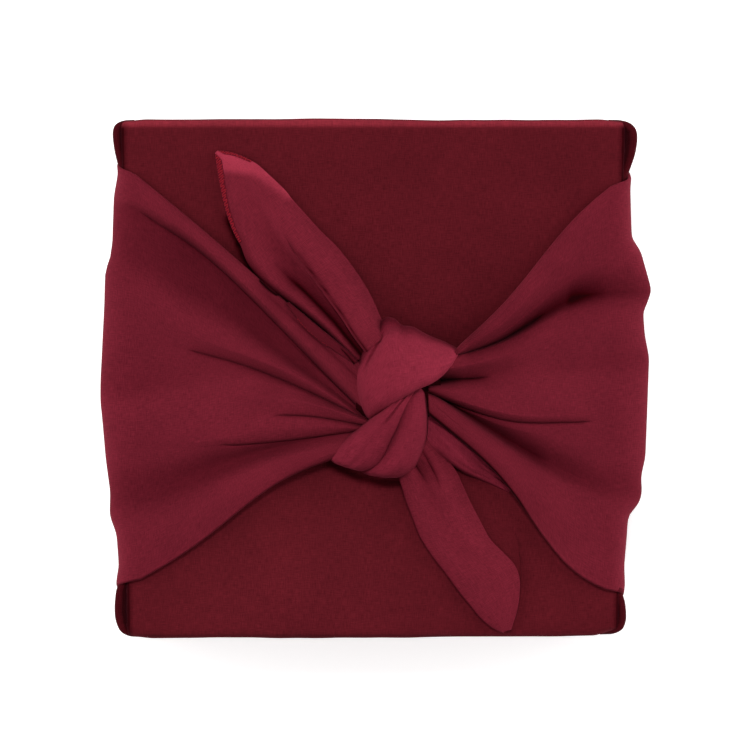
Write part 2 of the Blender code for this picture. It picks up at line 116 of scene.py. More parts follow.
RIGHT_OUTLINE = (
    (98.6, 123.7), (91.4, 122.6), (76.7, 123), (65.8, 123.4), (60.1, 127.8), (42, 132.8), (34, 130),
    (32.1, 128.7), (20.7, 129.5), (10.2, 131.6), (-17.3, 130.6), (-37.8, 129.8), (-46.3, 127.7),
    (-54.4, 128.2), (-59.6, 126.8), (-65.3, 121.6), (-75.8, 120.9), (-89.5, 119.7), (-100, 120.2),
    (-102.4, 118.3),
)

# Sharp creases along fold lines: the line, depth and width of the trough, how far the cloth behind it laps
# over it, how dark its painted shade is, and the shares of the wing's length between which it runs
LEFT_CREASES = (
    ("roll top", 0.5, 2.4, 0, 1.3, 0.55, 1.3),
    ("first crease", 3.2, 0.8, 2.2, 3.8, 0.07, 1.3),
    ("second crease", 3, 0.7, 1.6, 3.8, 0.27, 1.3),
    ("third crease", 2.4, 0.6, 0.8, 3.4, 0.64, 1.3),
    ("fourth crease", 2.8, 0.7, 1.2, 3.4, 0.4, 1.3),
)
RIGHT_CREASES = (
    ("dark valley", 0.4, 7, 0, 1.3, 0.02, 0.95),
    ("dark valley", 0, 5, 0, 1, -0.05, 0.35),
    ("dark valley", 2.2, 0.9, 1, 3, 0.45, 1.4),
    ("soft valley", 1.6, 0.8, 0.5, 3, 0.76, 1.4),
    ("soft valley", 4, 1.8, 0, 2.6, 0.94, 1.6),
    ("long crease", 3.2, 0.6, 1, 3.6, 0.16, 1.4),
    ("front valley", 1, 3, 0, 1.2, 0.4, 1.4),
    ("front edge", 0, 0.7, 0, 3.2, 0.5, 1.6),
)

# Corner pleats seen from above: sides in x and y, and the outer side as |x|, |y|, from the end wall round to
# where the wing pinches them
PLEATS = (
    (-1, 1, (
        (113.7, 122.7), (118.5, 122.2), (122, 120.3), (123.2, 117.4), (123.1, 113.5), (122.2, 107.5),
        (120.6, 101), (119, 94),
    )),
    (1, 1, (
        (112.2, 122.7), (117.7, 122.4), (122, 121), (124.6, 118.4), (125.4, 114.5), (124.6, 108.5),
        (122.8, 102.8), (119.4, 94),
    )),
    (-1, -1, (
        (111, 122.6), (116.2, 122), (119.9, 119.6), (121.8, 115), (122.3, 110.3), (122.1, 105),
        (121.2, 99.4), (117.6, 92),
    )),
    (1, -1, (
        (108, 121.4), (114.4, 120.9), (118.3, 118.8), (119.7, 115.6), (119.9, 112), (119.3, 106.6),
        (117.9, 101.6), (117, 95),
    )),
)

# The knot's lobes, straps of gathered cloth from one end to the other: left edge x, y; right edge x, y;
# rise of the left edge, the crest and the right edge above the flap; where the crest is across the strap
KNOT_LOBES = {
    "knot_upper": (
        (41.3, 13.5, 38.5, 6.9, 8, 13, 9, 0.5), (38.9, 15, 36.1, 4.5, 8, 20, 12, 0.5),
        (33.7, 17.6, 32.3, 0.7, 8, 24, 15, 0.6), (26.1, 20.7, 27.5, -2.6, 8, 27, 18, 0.66),
        (19, 24.5, 21.8, -5, 8, 29, 20, 0.7), (13.8, 25.4, 17.1, -7.6, 8, 30, 21, 0.72),
        (10, 28.5, 14.2, -9.3, 8, 30, 21, 0.72), (5.2, 28.5, 11.4, -10.9, 8, 30, 21, 0.72),
        (0, 21.1, 7.1, -13.5, 7, 29, 20, 0.7), (-5.2, 13.5, 3.8, -15.7, 6, 27, 18, 0.64),
        (-9, 5.5, 0.9, -17.8, 5, 24, 14, 0.55), (-8.8, -3.6, -1.4, -19.5, 4, 19, 9, 0.5),
        (-6.9, -11.2, -3.1, -18.8, 3, 11, 5, 0.5),
    ),
    "knot_lower_left": (
        (9, -8.8, 20.4, -5.5, 14, 21, 16, 0.5), (5.2, -12.1, 17.1, -10.7, 13, 25, 20, 0.5),
        (0.5, -16.9, 14.2, -16.9, 11, 26.5, 21, 0.5), (-5.7, -22.1, 11.4, -23.5, 9, 26.5, 21, 0.52),
        (-11.4, -26.4, 8.5, -29.7, 7, 25, 19, 0.52), (-16.1, -30.6, 6.2, -35.4, 6, 23, 16, 0.52),
        (-19.5, -34.4, 2.8, -40.6, 5, 20, 12, 0.5), (-20.9, -37.8, -4.3, -43.9, 4, 16, 7, 0.5),
        (-18.5, -40.1, -11.9, -42.5, 4, 9, 4, 0.5),
    ),
    "knot_lower_right": (
        (12.3, -6.4, 24.2, -3.6, 12, 18, 10, 0.5), (9, -11.2, 25.6, -9.3, 12, 23, 9, 0.58),
        (6.2, -16.9, 26.1, -15.4, 12, 25, 8, 0.62), (2.8, -23.5, 26.1, -22.1, 10, 26, 7, 0.64),
        (0, -30.2, 25.6, -28.3, 9, 25.5, 6, 0.64), (-2.8, -36.3, 23.8, -34.9, 7, 24, 5, 0.62),
        (-5.2, -41.1, 20.4, -42, 6, 21, 4.5, 0.6), (-5.7, -43.9, 14.2, -46.5, 5, 16, 4, 0.55),
        (-3.3, -45.6, 6.2, -47.3, 4, 9, 4, 0.5),
    ),
    "knot_core": (
        (-8, 2, -8, -24, 2, 12, 2, 0.5), (4, 8, 4, -26, 2, 16, 2, 0.5),
        (18, 10, 18, -24, 2, 17, 2, 0.5), (32, 8, 32, -16, 2, 13, 2, 0.5),
    ),
    "right_under_fold": (
        (24.2, -10.2, 22.3, -28.3, 4, 7, 5, 0.5), (29.9, -14.5, 26.6, -33, 5, 9.5, 6, 0.5),
        (35.6, -19.2, 32.3, -37.3, 6, 10.5, 4.5, 0.55), (41.3, -24.5, 38, -41.6, 5.5, 9.8, 3, 0.55),
        (47.5, -30.2, 44.2, -45.4, 4, 7.4, 1.6, 0.55), (54.1, -36.3, 50.8, -48.2, 2.4, 4.4, 0.7, 0.55),
        (60.3, -42.5, 57.5, -51.1, 1, 2.2, 0.3, 0.5), (66.5, -49.6, 64.6, -54.4, 0.2, 0.7, 0.1, 0.5),
    ),
}
# Troughs along a lobe: where across it at its start and its end, depth, width, and the shares between which
# it runs
LOBE_TROUGHS = {
    "knot_upper": (
        (-0.22, 0.42, 4, 0.045, 0.4, 0.84), (0.3, 0.42, 0.5, 0.08, 0.02, 0.5),
        (0.62, 0.7, 0.5, 0.06, 0, 0.4),
    ),
    "knot_lower_left": ((0.7, 0.35, 1.6, 0.05, 0.02, 0.42), (0.35, 0.4, 0.4, 0.1, 0.3, 1)),
    "knot_lower_right": ((0.55, 0.62, 0.6, 0.07, 0, 0.5), (0.8, 0.75, 0.4, 0.08, 0.2, 0.9)),
    "right_under_fold": ((0.35, 0.45, 0.4, 0.1, 0, 0.8),),
    "knot_core": (),
}
# How full a lobe's section is from its left edge to its crest and from there to its right edge, and its
# painted light and shade at its start and its end
LOBE_LOOKS = {
    "knot_upper": (1.5, 3.0, 1.6, -0.3),
    "knot_lower_left": (1.9, 2.6, 0.0, 0.0),
    "knot_lower_right": (1.3, 2.1, 0.0, 0.0),
    # The core is painted nearly black, as the shade in the gaps of the knot
    "knot_core": (1.9, 2.0, -2.9, -2.9),
    "right_under_fold": (1.8, 1.8, 1.0, -0.3),
}

# The tails, from the knot to the tip: left edge x, y; right edge x, y
TAILS = {
    "tail_back": (
        (-9, 6.9, 9, 22.6), (-17.6, 16.9, 4.3, 27.8), (-24.7, 24, 1.4, 34.4), (-33.7, 31.6, -2.4, 42),
        (-41.3, 37.3, -8.5, 51.5), (-48.4, 42, -16.6, 62), (-55.1, 48.7, -25.2, 70.5),
        (-59.8, 55.3, -33.7, 80), (-62.7, 62.9, -38.5, 85.3), (-66.5, 70.5, -41.8, 89.5),
        (-70.1, 81, -50.3, 97.6), (-72.2, 91, -56, 102.4), (-73.6, 99, -64.1, 106.2),
        (-74.4, 103.6, -69.4, 107.6), (-75, 107, -73.8, 108.2),
    ),
    "tail_front": (
        (10.4, -39.7, 24.2, -24.5), (12.3, -46.3, 31.8, -34.4), (14.2, -52.5, 38.9, -43.9),
        (15.7, -57.7, 42.3, -51.1), (19, -66.3, 46.1, -59.1), (22.3, -74.8, 50.8, -68.2),
        (28, -83.8, 55.6, -76.7), (34.2, -91.9, 61.8, -82.9), (40.4, -100.5, 67, -88.6),
        (46.1, -107.6, 69.3, -94.8), (50.8, -113.3, 69.3, -102.4), (56.5, -118, 67.9, -110.9),
        (61.8, -120.2, 65.1, -119),
    ),
    "tail_front_under": (
        (38.9, -53, 44.2, -56.3), (43.2, -59.6, 50.8, -62), (48.9, -66.7, 58.4, -67.7),
        (54.1, -73.4, 67, -73.4), (58.4, -82.4, 69.3, -82.4), (63.2, -92.9, 70.1, -92.9),
        (62.7, -102.8, 69.6, -102.8), (60.3, -110.9, 67.9, -111.9), (59.8, -117.6, 65.1, -119.7),
    ),
    "tail_back_under": (
        (-40.9, 35.4, -37.5, 37.3), (-35.1, 27.3, -31.3, 31.6), (-28, 20.2, -23.8, 24.5),
        (-19.5, 14, -15.2, 18.3), (-9.5, 7.4, -6.2, 12.6),
    ),
}
# Folds that run along a tail, from its left edge to its right edge: where across it, how high above the flap
# and how light or dark it is painted, each at four places from the knot to the tip, or the same at all four
TAIL_FOLDS = {
    "tail_back": (
        (0, (8, 5, 3, 1.8), (-1, -0.6, 0, 0.6)),
        ((0.13, 0.11, 0.15, 0.2), (13, 9, 5, 2.8), (0.4, 0.4, 0.5, 0.7)),
        ((0.33, 0.44, 0.5, 0.5), (10.5, 6.2, 6, 3.2), (-1.3, -0.7, 0.4, 0.6)),
        ((0.41, 0.53, 0.6, 0.6), (15, 9.6, 6.6, 3.2), (0.6, 0.5, 0.6, 0.7)),
        ((0.72, 0.76, 0.76, 0.76), (17, 11.5, 6.6, 3), (0.7, 0.6, 0.6, 0.7)),
        (1, (8, 4, 3, 1.8), (0.4, 0.3, 0.5, 0.6)),
    ),
    "tail_front": (
        (0, (8, 3, 2.4, 1.8), (0.2, 0.3, 0.3, -0.2)),
        ((0.26, 0.25, 0.25, 0.3), (12, 7, 5, 2.6), (0.4, 0.6, 0.6, 0.3)),
        ((0.4, 0.44, 0.48, 0.5), (10, 6.8, 5.2, 2.6), (-0.6, 0.3, 0.6, 0.4)),
        ((0.66, 0.68, 0.68, 0.7), (12.5, 8.5, 5.4, 2.6), (0.5, 0.6, 0.6, 0.4)),
        (1, (6, 3, 2.4, 1.8), (-0.6, 0.3, 0.6, 0)),
    ),
    "tail_front_under": (
        (0, (-0.9, -0.5, 1, 1.2), (0, 0, 0, -0.4)),
        (0.5, (-0.9, -0.5, 1.1, 1.4), (0, 0, 0, -0.4)),
        (1, (-0.9, -0.5, 0.9, 1.1), (0, 0, -0.8, -1.4)),
    ),
    "tail_back_under": (
        (0, (2, 3.5, 4.5, 6), (-1.3, -1.2, -1.2, -1.4)),
        (0.5, (3, 5, 6.4, 8), (-1.2, -1, -1, -1.4)),
        (1, (2.6, 4, 5, 7), (-1.4, -1.4, -1.6, -1.8)),
    ),
}
# Creases along a tail, where the cloth on the right laps over: place across it at the knot and at the far
# end, depth, width, overlap, and the shares of its length between which it runs
TAIL_CREASES = {
    "tail_back": (
        (0.36, 0.62, 2.4, 0.7, 1.8, -0.1, 0.5), (0.22, 0.3, 0.8, 1.6, 0.6, -0.1, 0.45),
        (0, 0, 0, 0.9, 0, -0.1, 0.56),
    ),
    "tail_front": (
        (0, 0, 0, 0.5, 0, -0.1, 1.1), (0.4, 0.46, 1.6, 1, 0.8, -0.1, 0.2),
        (0.7, 0.62, 1, 1.2, 0.6, -0.1, 0.26),
    ),
    "tail_front_under": (),
    "tail_back_under": (),
}


# ---------------------------------------------------------------- shapes


def half_width(y):
    """Half the wrapped box's width at a distance y from its middle."""
    return FRONT_HALF_WIDTH + (BACK_HALF_WIDTH - FRONT_HALF_WIDTH) * (0.5 + y / WRAP_DEPTH)


def through_rows(rows, steps):
    """Points on a smooth curve through the rows, ends included, with every column carried along."""
    rows = np.array(rows, float)
    padded = np.vstack([2 * rows[0] - rows[1], rows, 2 * rows[-1] - rows[-2]])
    place = np.linspace(0, len(rows) - 1, steps)
    first = np.minimum(place.astype(int), len(rows) - 2)
    t = (place - first)[:, None]
    p0, p1, p2, p3 = (padded[first + k] for k in range(4))
    return 0.5 * (
        2 * p1
        + (p2 - p0) * t
        + (2 * p0 - 5 * p1 + 4 * p2 - p3) * t**2
        + (3 * p1 - p0 - 3 * p2 + p3) * t**3
    )


def along_stations(values, share):
    """The natural spline through evenly spaced values, from share 0 to share 1, and straight beyond."""
    values = np.array(values, float)
    gaps = len(values) - 1
    bends = np.zeros(gaps + 1)
    matrix = 4 * np.eye(gaps - 1) + np.eye(gaps - 1, k=1) + np.eye(gaps - 1, k=-1)
    bends[1:-1] = np.linalg.solve(matrix, 6 * np.diff(values, n=2))
    place = np.clip(share, 0, 1) * gaps
    first = np.minimum(place.astype(int), gaps - 1)
    t = place - first
    curve = (1 - t) * values[first] + t * values[first + 1]
    curve = curve + (((1 - t) ** 3 - (1 - t)) * bends[first] + (t**3 - t) * bends[first + 1]) / 6
    end_slope = (values[-1] - values[-2] + bends[-2] / 6) * gaps
    return curve + end_slope * np.clip(share - 1, 0, None)


def fold_values(folds, column, share):
    """One column of a table of folds, at shares of their length: a row for each share."""
    four = [np.broadcast_to(row[column], STATIONS) for row in folds]
    return np.stack([along_stations(values, share) for values in four], axis=1)


def eased(value, low, high):
    """0 below low, 1 above high, and smooth between."""
    t = np.clip((value - low) / (high - low), 0, 1)
    return t * t * (3 - 2 * t)


def fading(share, first, last, fade_in, fade_out):
    """1 between two shares of a length, and eased to 0 within its ends."""
    return eased(share, first, first + fade_in) * (1 - eased(share, last - fade_out, last))


def folded_over(across, line, width, fade):
    """A crease along a line: its trough, 1 deep, and how far the cloth behind it laps over it, 1 at most."""
    away = across - line
    lap = np.clip(away, 0, None) / width
    return fade * np.exp(-np.abs(away) / width), fade * lap * np.exp(1 - lap)


def soft_noise(x, y, size, seed):
    """Gentle, repeatable unevenness between about -1 and 1, with bumps of about the given size."""
    rng = np.random.default_rng(seed)
    total = np.zeros(np.broadcast(x, y).shape)
    waves = 9
    for _ in range(waves):
        angle = rng.uniform(0, 2 * math.pi)
        rate = 2 * math.pi / (size * rng.uniform(0.8, 2.2))
        phase = rng.uniform(0, 2 * math.pi)
        total = total + np.sin(rate * (x * math.cos(angle) + y * math.sin(angle)) + phase)
    return total / math.sqrt(waves) / 1.4


def rounded_between(places, heights, per_gap):
    """Heights between given ones that round over each ridge and valley and never pass it.

    places and heights hold one row of lines for each section; columns crowd together at the lines.
    """
    steps = np.diff(places, axis=1)
    rates = np.diff(heights, axis=1) / steps
    before, after = rates[:, :-1], rates[:, 1:]
    same = before * after > 0
    near = 2 * steps[:, 1:] + steps[:, :-1]
    far = steps[:, 1:] + 2 * steps[:, :-1]
    safe_before, safe_after = np.where(same, before, 1), np.where(same, after, 1)
    inner = np.where(same, (near + far) / (near / safe_before + far / safe_after), 0)
    slopes = np.concatenate([rates[:, :1], inner, rates[:, -1:]], axis=1)
    t = (0.5 - 0.5 * np.cos(np.pi * np.arange(per_gap) / per_gap))[None, None, :]
    rise = np.diff(heights, axis=1)[:, :, None]
    bend = slopes[:, :-1, None] * (t**3 - 2 * t**2 + t) + slopes[:, 1:, None] * (t**3 - t**2)
    made = heights[:, :-1, None] + rise * (3 * t**2 - 2 * t**3) + bend * steps[:, :, None]
    spots = places[:, :-1, None] + steps[:, :, None] * t
    pairs = ((spots, places), (made, heights))
    return [np.concatenate([a.reshape(len(a), -1), b[:, -1:]], axis=1) for a, b in pairs]


def smoothed(values, places, reach):
    """Values averaged over neighbouring places."""
    weight = np.exp(-(((places[:, None] - places[None, :]) / reach) ** 2))
    weight *= np.abs(np.gradient(places))[None, :]
    return (weight * values[None, :]).sum(axis=1) / weight.sum(axis=1)


def grid_normals(grid):
    normal = np.cross(np.gradient(grid, axis=0), np.gradient(grid, axis=1))
    length = np.linalg.norm(normal, axis=2, keepdims=True)
    return normal / np.maximum(length, 1e-9)


def summed(steps):
    return np.concatenate([[0], np.cumsum(steps)])


def run_along(points):
    """How far along a line of points each of them is."""
    return summed(np.linalg.norm(np.diff(points, axis=0), axis=1))


def grid_lengths(grid):
    """Distances along the cloth, for the weave: down the rows and across the columns."""
    down = np.linalg.norm(np.diff(grid, axis=0), axis=2).mean(axis=1)
    across = np.linalg.norm(np.diff(grid, axis=1), axis=2).max(axis=0)
    return summed(down), summed(across)


DEEPEST_SHADE = -2.9  # as painted light and shade


def set_painted_shading(obj, values):
    """Painted light and shade at each point, which lightens or darkens the cloth's colour: 1 on a lit ridge,
    -1 in a shaded valley, less in a crack.
    """
    attribute = obj.data.attributes.new("painted_shading", "FLOAT", "POINT")
    values = np.maximum(np.asarray(values, np.float32), DEEPEST_SHADE)
    attribute.data.foreach_set("value", values.ravel())


def placed(name, data):
    """A new object in the scene."""
    obj = bpy.data.objects.new(name, data)
    bpy.context.scene.collection.objects.link(obj)
    return obj


def make_mesh(name, verts, quads, uvs=None):
    mesh = bpy.data.meshes.new(name)
    mesh.vertices.add(len(verts))
    mesh.vertices.foreach_set("co", (verts * MM).ravel())
    mesh.loops.add(quads.size)
    mesh.loops.foreach_set("vertex_index", quads.ravel().astype(np.int32))
    mesh.polygons.add(len(quads))
    mesh.polygons.foreach_set("loop_start", np.arange(0, quads.size, 4, dtype=np.int32))
    mesh.update(calc_edges=True)
    if uvs is not None:
        layer = mesh.uv_layers.new(name="cloth")
        layer.data.foreach_set("uv", (uvs[quads.ravel()] * MM).ravel())
    mesh.validate()
    mesh.shade_smooth()
    return placed(name, mesh)


def grid_quads(rows, columns, wrap_columns=False):
    i, j = np.meshgrid(np.arange(rows - 1), np.arange(columns - (not wrap_columns)), indexing="ij")
    j2 = (j + 1) % columns
    a, b = i * columns + j, i * columns + j2
    c, d = (i + 1) * columns + j2, (i + 1) * columns + j
    return np.stack([a, b, c, d], axis=2).reshape(-1, 4)


def closed_sheet(name, outer, thick, flip, painted_shading):
    """A grid of points thickened inwards and closed round its rim. Its cloth lengths become its UVs."""
    rows, columns = outer.shape[:2]
    normal = grid_normals(outer) * (-1 if flip else 1)
    inner = outer - normal * thick
    count = rows * columns
    quads = grid_quads(rows, columns)
    index = np.arange(count).reshape(rows, columns)
    loop = np.concatenate([index[0, :-1], index[:-1, -1], index[-1, :0:-1], index[:0:-1, 0]])
    ahead = np.roll(loop, -1)
    rim = np.stack([loop, ahead, ahead + count, loop + count], axis=1)
    everything = np.concatenate([quads[:, ::-1], quads + count, rim])
    if flip:
        everything = everything[:, ::-1]
    down, across = grid_lengths(outer)
    uv = np.stack(np.meshgrid(across, down), axis=2).reshape(-1, 2)
    verts = np.concatenate([outer.reshape(-1, 3), inner.reshape(-1, 3)])
    obj = make_mesh(name, verts, everything, np.concatenate([uv, uv]))
    set_painted_shading(obj, np.concatenate([painted_shading, painted_shading]))
    return obj


# ---------------------------------------------------------------- pieces of the cloth

STATIONS = 4  # places along a fold at which the tables give it
WRINKLE = 0.35  # height of the fine unevenness of gathered cloth
PER_FOLD = 12  # columns between two fold lines of a wing
FOLD_GAIN = 1.6  # how much taller the folds stand than in the table, away from the knot
LEAST_RISE = 1.6
WALL_ROWS = 44
SHOULDER_ROWS = 18
TOP_ROWS = 140
OUTLINE_BLUR = 2.5
WALL_SWAY = 0.7
WALL_BULGE = 1.3  # how quickly the side bulges out above its foot, as a power
TOP_SWAY = 0.3
FOLDS_SETTLE = (0.55, 1.0)  # shares of its length over which the folds come down to the table's heights
# Fine unevenness, which follows the folds: the shares over which it grows, its rate along them and its size
WING_WRINKLES = ((0.3, 1.0, 25, 8.0), (0.0, 0.3, 12, 9.0))
WING_CREASE_ENDS = (0.12, 0.05)  # shares of its length over which a crease fades in and out
WING_FOOT = 0.6
WING_OVER_WALL = 0.9  # how far a wing's cloth stands out over the wall that it covers
WING_FOOT_HALF_SPAN = 118.0
SHOULDER_INSET = 7.0
SHOULDER_DROP = 7.0
UNDER_KNOT = 12.0
EDGE_ROLL = 1.2  # how far the fold along a wing's free edges bulges out
EDGE_FOOT = 0.9  # how far the cloth that is turned under stays from the flap
EDGE_LEAST = 0.3  # half of the gap inside the fold, at the least
EDGE_TUCK = 7.0  # how far the cloth runs back under itself there
TUCK_ROOM = 1.5  # in gaps narrower than this it runs back less
LEAST_TUCK = 0.2  # as a share of EDGE_TUCK
EDGE_COLUMNS = 7  # round the fold
# How quickly painted light and shade follow the height of a wing's folds
PAINTED_SHADING_STEEPNESS = 1.3
PAINTED_SHADING_HEIGHT = 7.0  # folds as deep as this take the full painted light and shade
# The most painted light on a ridge
RIDGE_HIGHLIGHT = 0.3
RIM_HIGHLIGHT = 0.7  # painted highlight where a wing turns down over the box's side
WALL_SHADE = -0.8  # painted shade, darker towards a wing's foot, as dark as the wrap where it starts from under the box
FRONT_EDGE_SHADE = 2.0  # a wing's front edge turns under and away from the light


def rolled_edges(grid, side_out):
    """Adds columns to a wing's back and front edges, where the cloth turns under itself."""
    made = []
    for edge, sign in ((0, 1), (-1, -1)):
        start = grid[:, edge]
        away = np.array([0.0, sign, 0.0])
        sideways = np.abs(start[:, 0]) - half_width(start[:, 1])
        upwards = start[:, 2] - WRAP_HEIGHT
        clear = np.hypot(np.clip(sideways, 0, None), np.clip(upwards, 0, None))
        half = np.clip((clear - EDGE_FOOT) / 2, EDGE_LEAST, None)[:, None]
        room = np.clip(half / TUCK_ROOM, LEAST_TUCK, 1.0)
        columns = []
        for k in range(1, EDGE_COLUMNS + 1):
            turn = math.pi * k / EDGE_COLUMNS
            out = EDGE_ROLL * math.sin(turn)
            under = half * (1 - math.cos(turn))
            columns.append(start + away * out - side_out * under)
        for back in (0.5, 1.0):
            columns.append(columns[EDGE_COLUMNS - 1] - away * EDGE_TUCK * back * room)
        made.append(columns)
    front = np.stack(made[1], axis=1)
    back = np.stack(made[0][::-1], axis=1)
    return np.concatenate([back, grid, front], axis=1)


def wing_grid(side, stations, folds, outline, creases, seed):
    """A wing's points, in rows from its foot up the wall and over to the knot, and their painted light and
    shade.
    """
    names = [row[0] for row in folds]
    start, end = stations
    length = start - end
    first_share, last_share = SHOULDER_INSET / length, 1 + UNDER_KNOT / length
    turning = np.arange(SHOULDER_ROWS) / SHOULDER_ROWS
    over_top = np.linspace(first_share, last_share, TOP_ROWS)
    share = np.concatenate([np.zeros(WALL_ROWS), first_share * turning, over_top])
    on_wall = slice(0, WALL_ROWS)
    on_shoulder = slice(WALL_ROWS, WALL_ROWS + SHOULDER_ROWS)
    on_top = slice(WALL_ROWS + SHOULDER_ROWS, None)

    y_lines, rise_lines = fold_values(folds, 1, share), fold_values(folds, 2, share)
    across = (y_lines - y_lines[:, -1:]) / (y_lines[:, :1] - y_lines[:, -1:])
    level = rise_lines[:, -1:] + (rise_lines[:, :1] - rise_lines[:, -1:]) * across
    gain = FOLD_GAIN + (1 - FOLD_GAIN) * eased(share, *FOLDS_SETTLE)[:, None]
    rise_lines = np.maximum(level + gain * (rise_lines - level), LEAST_RISE)
    places, rise = rounded_between(-y_lines, rise_lines, PER_FOLD)
    y = -places
    y_side = y[0]
    at, reach = np.array(outline[::-1]).T
    reach = smoothed(np.interp(y_side, at, reach), y_side, OUTLINE_BLUR)

    column = np.linspace(0, 100, y.shape[1])[None, :] + 0 * y
    for k, (low, high, rate, size) in enumerate(WING_WRINKLES):
        wrinkle = soft_noise(column, share[:, None] * rate, size, seed + k)
        rise = rise + WRINKLE * eased(share, low, high)[:, None] * wrinkle

    # Painted light on the ridges and painted shade in the valleys, from the height of the folds
    lowest, highest = rise.min(axis=1, keepdims=True), rise.max(axis=1, keepdims=True)
    painted_shading = np.clip(PAINTED_SHADING_STEEPNESS * (2 * (rise - lowest) / (highest - lowest) - 1), -1, RIDGE_HIGHLIGHT)
    shift = np.zeros_like(y)
    # Each crease also gets painted shade along its trough
    for name, depth, width, overlap, shade, low, high in creases:
        line = y_lines[:, names.index(name)][:, None]
        fade = fading(share, low, high, *WING_CREASE_ENDS)[:, None]
        trough, lap = folded_over(y, line, width, fade)
        rise = rise - depth * trough
        painted_shading = painted_shading - shade * trough
        shift = shift - overlap * lap
    y = y + shift

    flare = WING_FOOT_HALF_SPAN / np.abs(y_side).max() - 1
    high = WRAP_HEIGHT - SHOULDER_DROP
    up = np.linspace(0, 1, WALL_ROWS, endpoint=False)[:, None]
    y_wall = y[on_wall] * (1 + flare * (1 - up))
    height = WING_FOOT + (high - WING_FOOT) * up
    below = np.clip(1 - height / END_FOLD_RADIUS, 0, 1)
    out = half_width(y_wall) + WING_OVER_WALL - SIDE_FOLD_RADIUS * (1 - np.sqrt(1 - below**2))
    bulge = np.sin(np.pi / 2 * up) ** WALL_BULGE
    sway = soft_noise(y_wall, up * 60, 30.0, seed + 2) * np.sin(np.pi * up)
    turn = (np.pi / 2 * turning)[:, None]
    inner = half_width(y_side) - SHOULDER_INSET
    from_start = ((share[on_top] - first_share) / (1 - first_share))[:, None]
    grid = np.zeros(y.shape + (3,))
    grid[..., 1] = y
    grid[on_wall, :, 1] = y_wall
    grid[on_wall, :, 0] = side * (out + (reach - out) * bulge + WALL_SWAY * sway)
    grid[on_shoulder, :, 0] = side * (inner + (reach - inner) * np.cos(turn))
    grid[on_top, :, 0] = side * (inner * (1 - from_start) + end * from_start)
    grid[on_wall, :, 2] = height
    grid[on_shoulder, :, 2] = high + (SHOULDER_DROP + rise[on_shoulder]) * np.sin(turn)
    grid[on_top, :, 2] = WRAP_HEIGHT + rise[on_top]
    grid[on_top, :, 2] += TOP_SWAY * soft_noise(grid[on_top, :, 0], grid[on_top, :, 1], 22.0, seed + 3)

    outward = np.zeros((len(share), 3))
    outward[on_wall, 0] = side
    outward[on_shoulder, 0] = side * np.cos(turn[:, 0])
    outward[on_shoulder, 2] = np.sin(turn[:, 0])
    outward[on_top, 2] = 1
    # Painted light and shade fade out where folds are shallow; painted highlight on the rim, painted shade on
    # the front edge and down the wall
    painted_shading *= np.clip((highest - lowest) / PAINTED_SHADING_HEIGHT, 0, 1)
    painted_shading[on_wall] += RIM_HIGHLIGHT
    painted_shading[on_shoulder] += RIM_HIGHLIGHT * np.cos(turn) ** 2
    padding = EDGE_COLUMNS + 2
    painted_shading = np.pad(painted_shading, ((0, 0), (padding, padding)), mode="edge")
    painted_shading[:, -padding:] -= FRONT_EDGE_SHADE * np.clip(np.arange(1, padding + 1) / 3, 0, 1)
    painted_shading[on_wall] = WALL_SHADE + (painted_shading[on_wall] - WALL_SHADE) * up**2
    return rolled_edges(grid, outward), painted_shading


def build_wings():
    grid, painted_shading = wing_grid(-1, LEFT_STATIONS, LEFT_FOLDS, LEFT_OUTLINE, LEFT_CREASES, 11)
    left = closed_sheet("wing_left", grid, COTTON, True, painted_shading)
    grid, painted_shading = wing_grid(1, RIGHT_STATIONS, RIGHT_FOLDS, RIGHT_OUTLINE, RIGHT_CREASES, 23)
    right = closed_sheet("wing_right", grid, COTTON, False, painted_shading)
    return [left, right]


EDGE_STEPS = 7  # round each edge of the wrap
WRAP_STEPS = (130, 130, 24)  # across its faces in x, y and z
LINING_STEPS = (60, 60, 24)  # and on the skin inside it


def spaced_edges(half, radius, steps):
    """Places from -half to half, close together where the cloth turns over an edge."""
    edge = np.linspace(0, radius, EDGE_STEPS, endpoint=False)
    middle = np.linspace(-(half - radius), half - radius, steps)
    return np.concatenate([-half + edge, middle, (half - edge)[::-1]])


def block_skin(inset, radii, steps):
    """The skin of a block with rounded edges, as points and quads, drawn in by inset."""
    half = np.array([BACK_HALF_WIDTH, WRAP_DEPTH / 2, WRAP_HEIGHT / 2]) - inset
    radii = np.array(radii)
    lines = [spaced_edges(*values) for values in zip(half, radii, steps)]
    verts, quads, count = [], [], 0
    for axis in range(3):
        b, c = (axis + 1) % 3, (axis + 2) % 3
        for sign in (-1, 1):
            u, v = np.meshgrid(lines[b], lines[c], indexing="ij")
            face = np.zeros(u.shape + (3,))
            face[..., axis] = sign * half[axis]
            face[..., b], face[..., c] = u, v
            made = grid_quads(*u.shape) + count
            quads.append(made if sign < 0 else made[:, ::-1])
            verts.append(face.reshape(-1, 3))
            count += u.size
    points = np.concatenate(verts)
    core = np.clip(points, -(half - radii), half - radii)
    out = (points - core) / radii
    normal = out / np.maximum(np.linalg.norm(out, axis=1, keepdims=True), 1e-9)
    points = core + normal * radii
    return points, np.concatenate(quads), normal


BROAD_WAVE = 0.35  # unevenness of the wrap's faces
FINE_WAVE = 0.1
WELD_REACH = 0.01
ON_FLAP = (WRAP_HEIGHT - 3.0, WRAP_HEIGHT - 1.5)
BACK_STRIP = (118.4, 121.2)  # painted highlight where the flap turns down over the back edge
BACK_STRIP_HIGHLIGHT = 4.0
FRONT_STRIP = (-121.0, -122.6)  # it turns away from the light over the front edge
FRONT_STRIP_SHADE = 1.6
SIDE_LINE = (2.4, 1.2)  # in from the side folds, which lie in the shade of the pleats
SLOT_REACH = (86.0, 92.0)
SLOT_DEPTH = (45.0, 70.0)
SLOT_SHADE = 2.5
CORNER_CUT = 1.0  # the corners are rounder than the edges, seen from above
FRONT_RIGHT_CUT = 1.6  # and this one is rounder still
CORNER_CUT_FROM = (107.0, 119.0)
FRONT_SLANT = 0.8  # the front edge draws in to the right
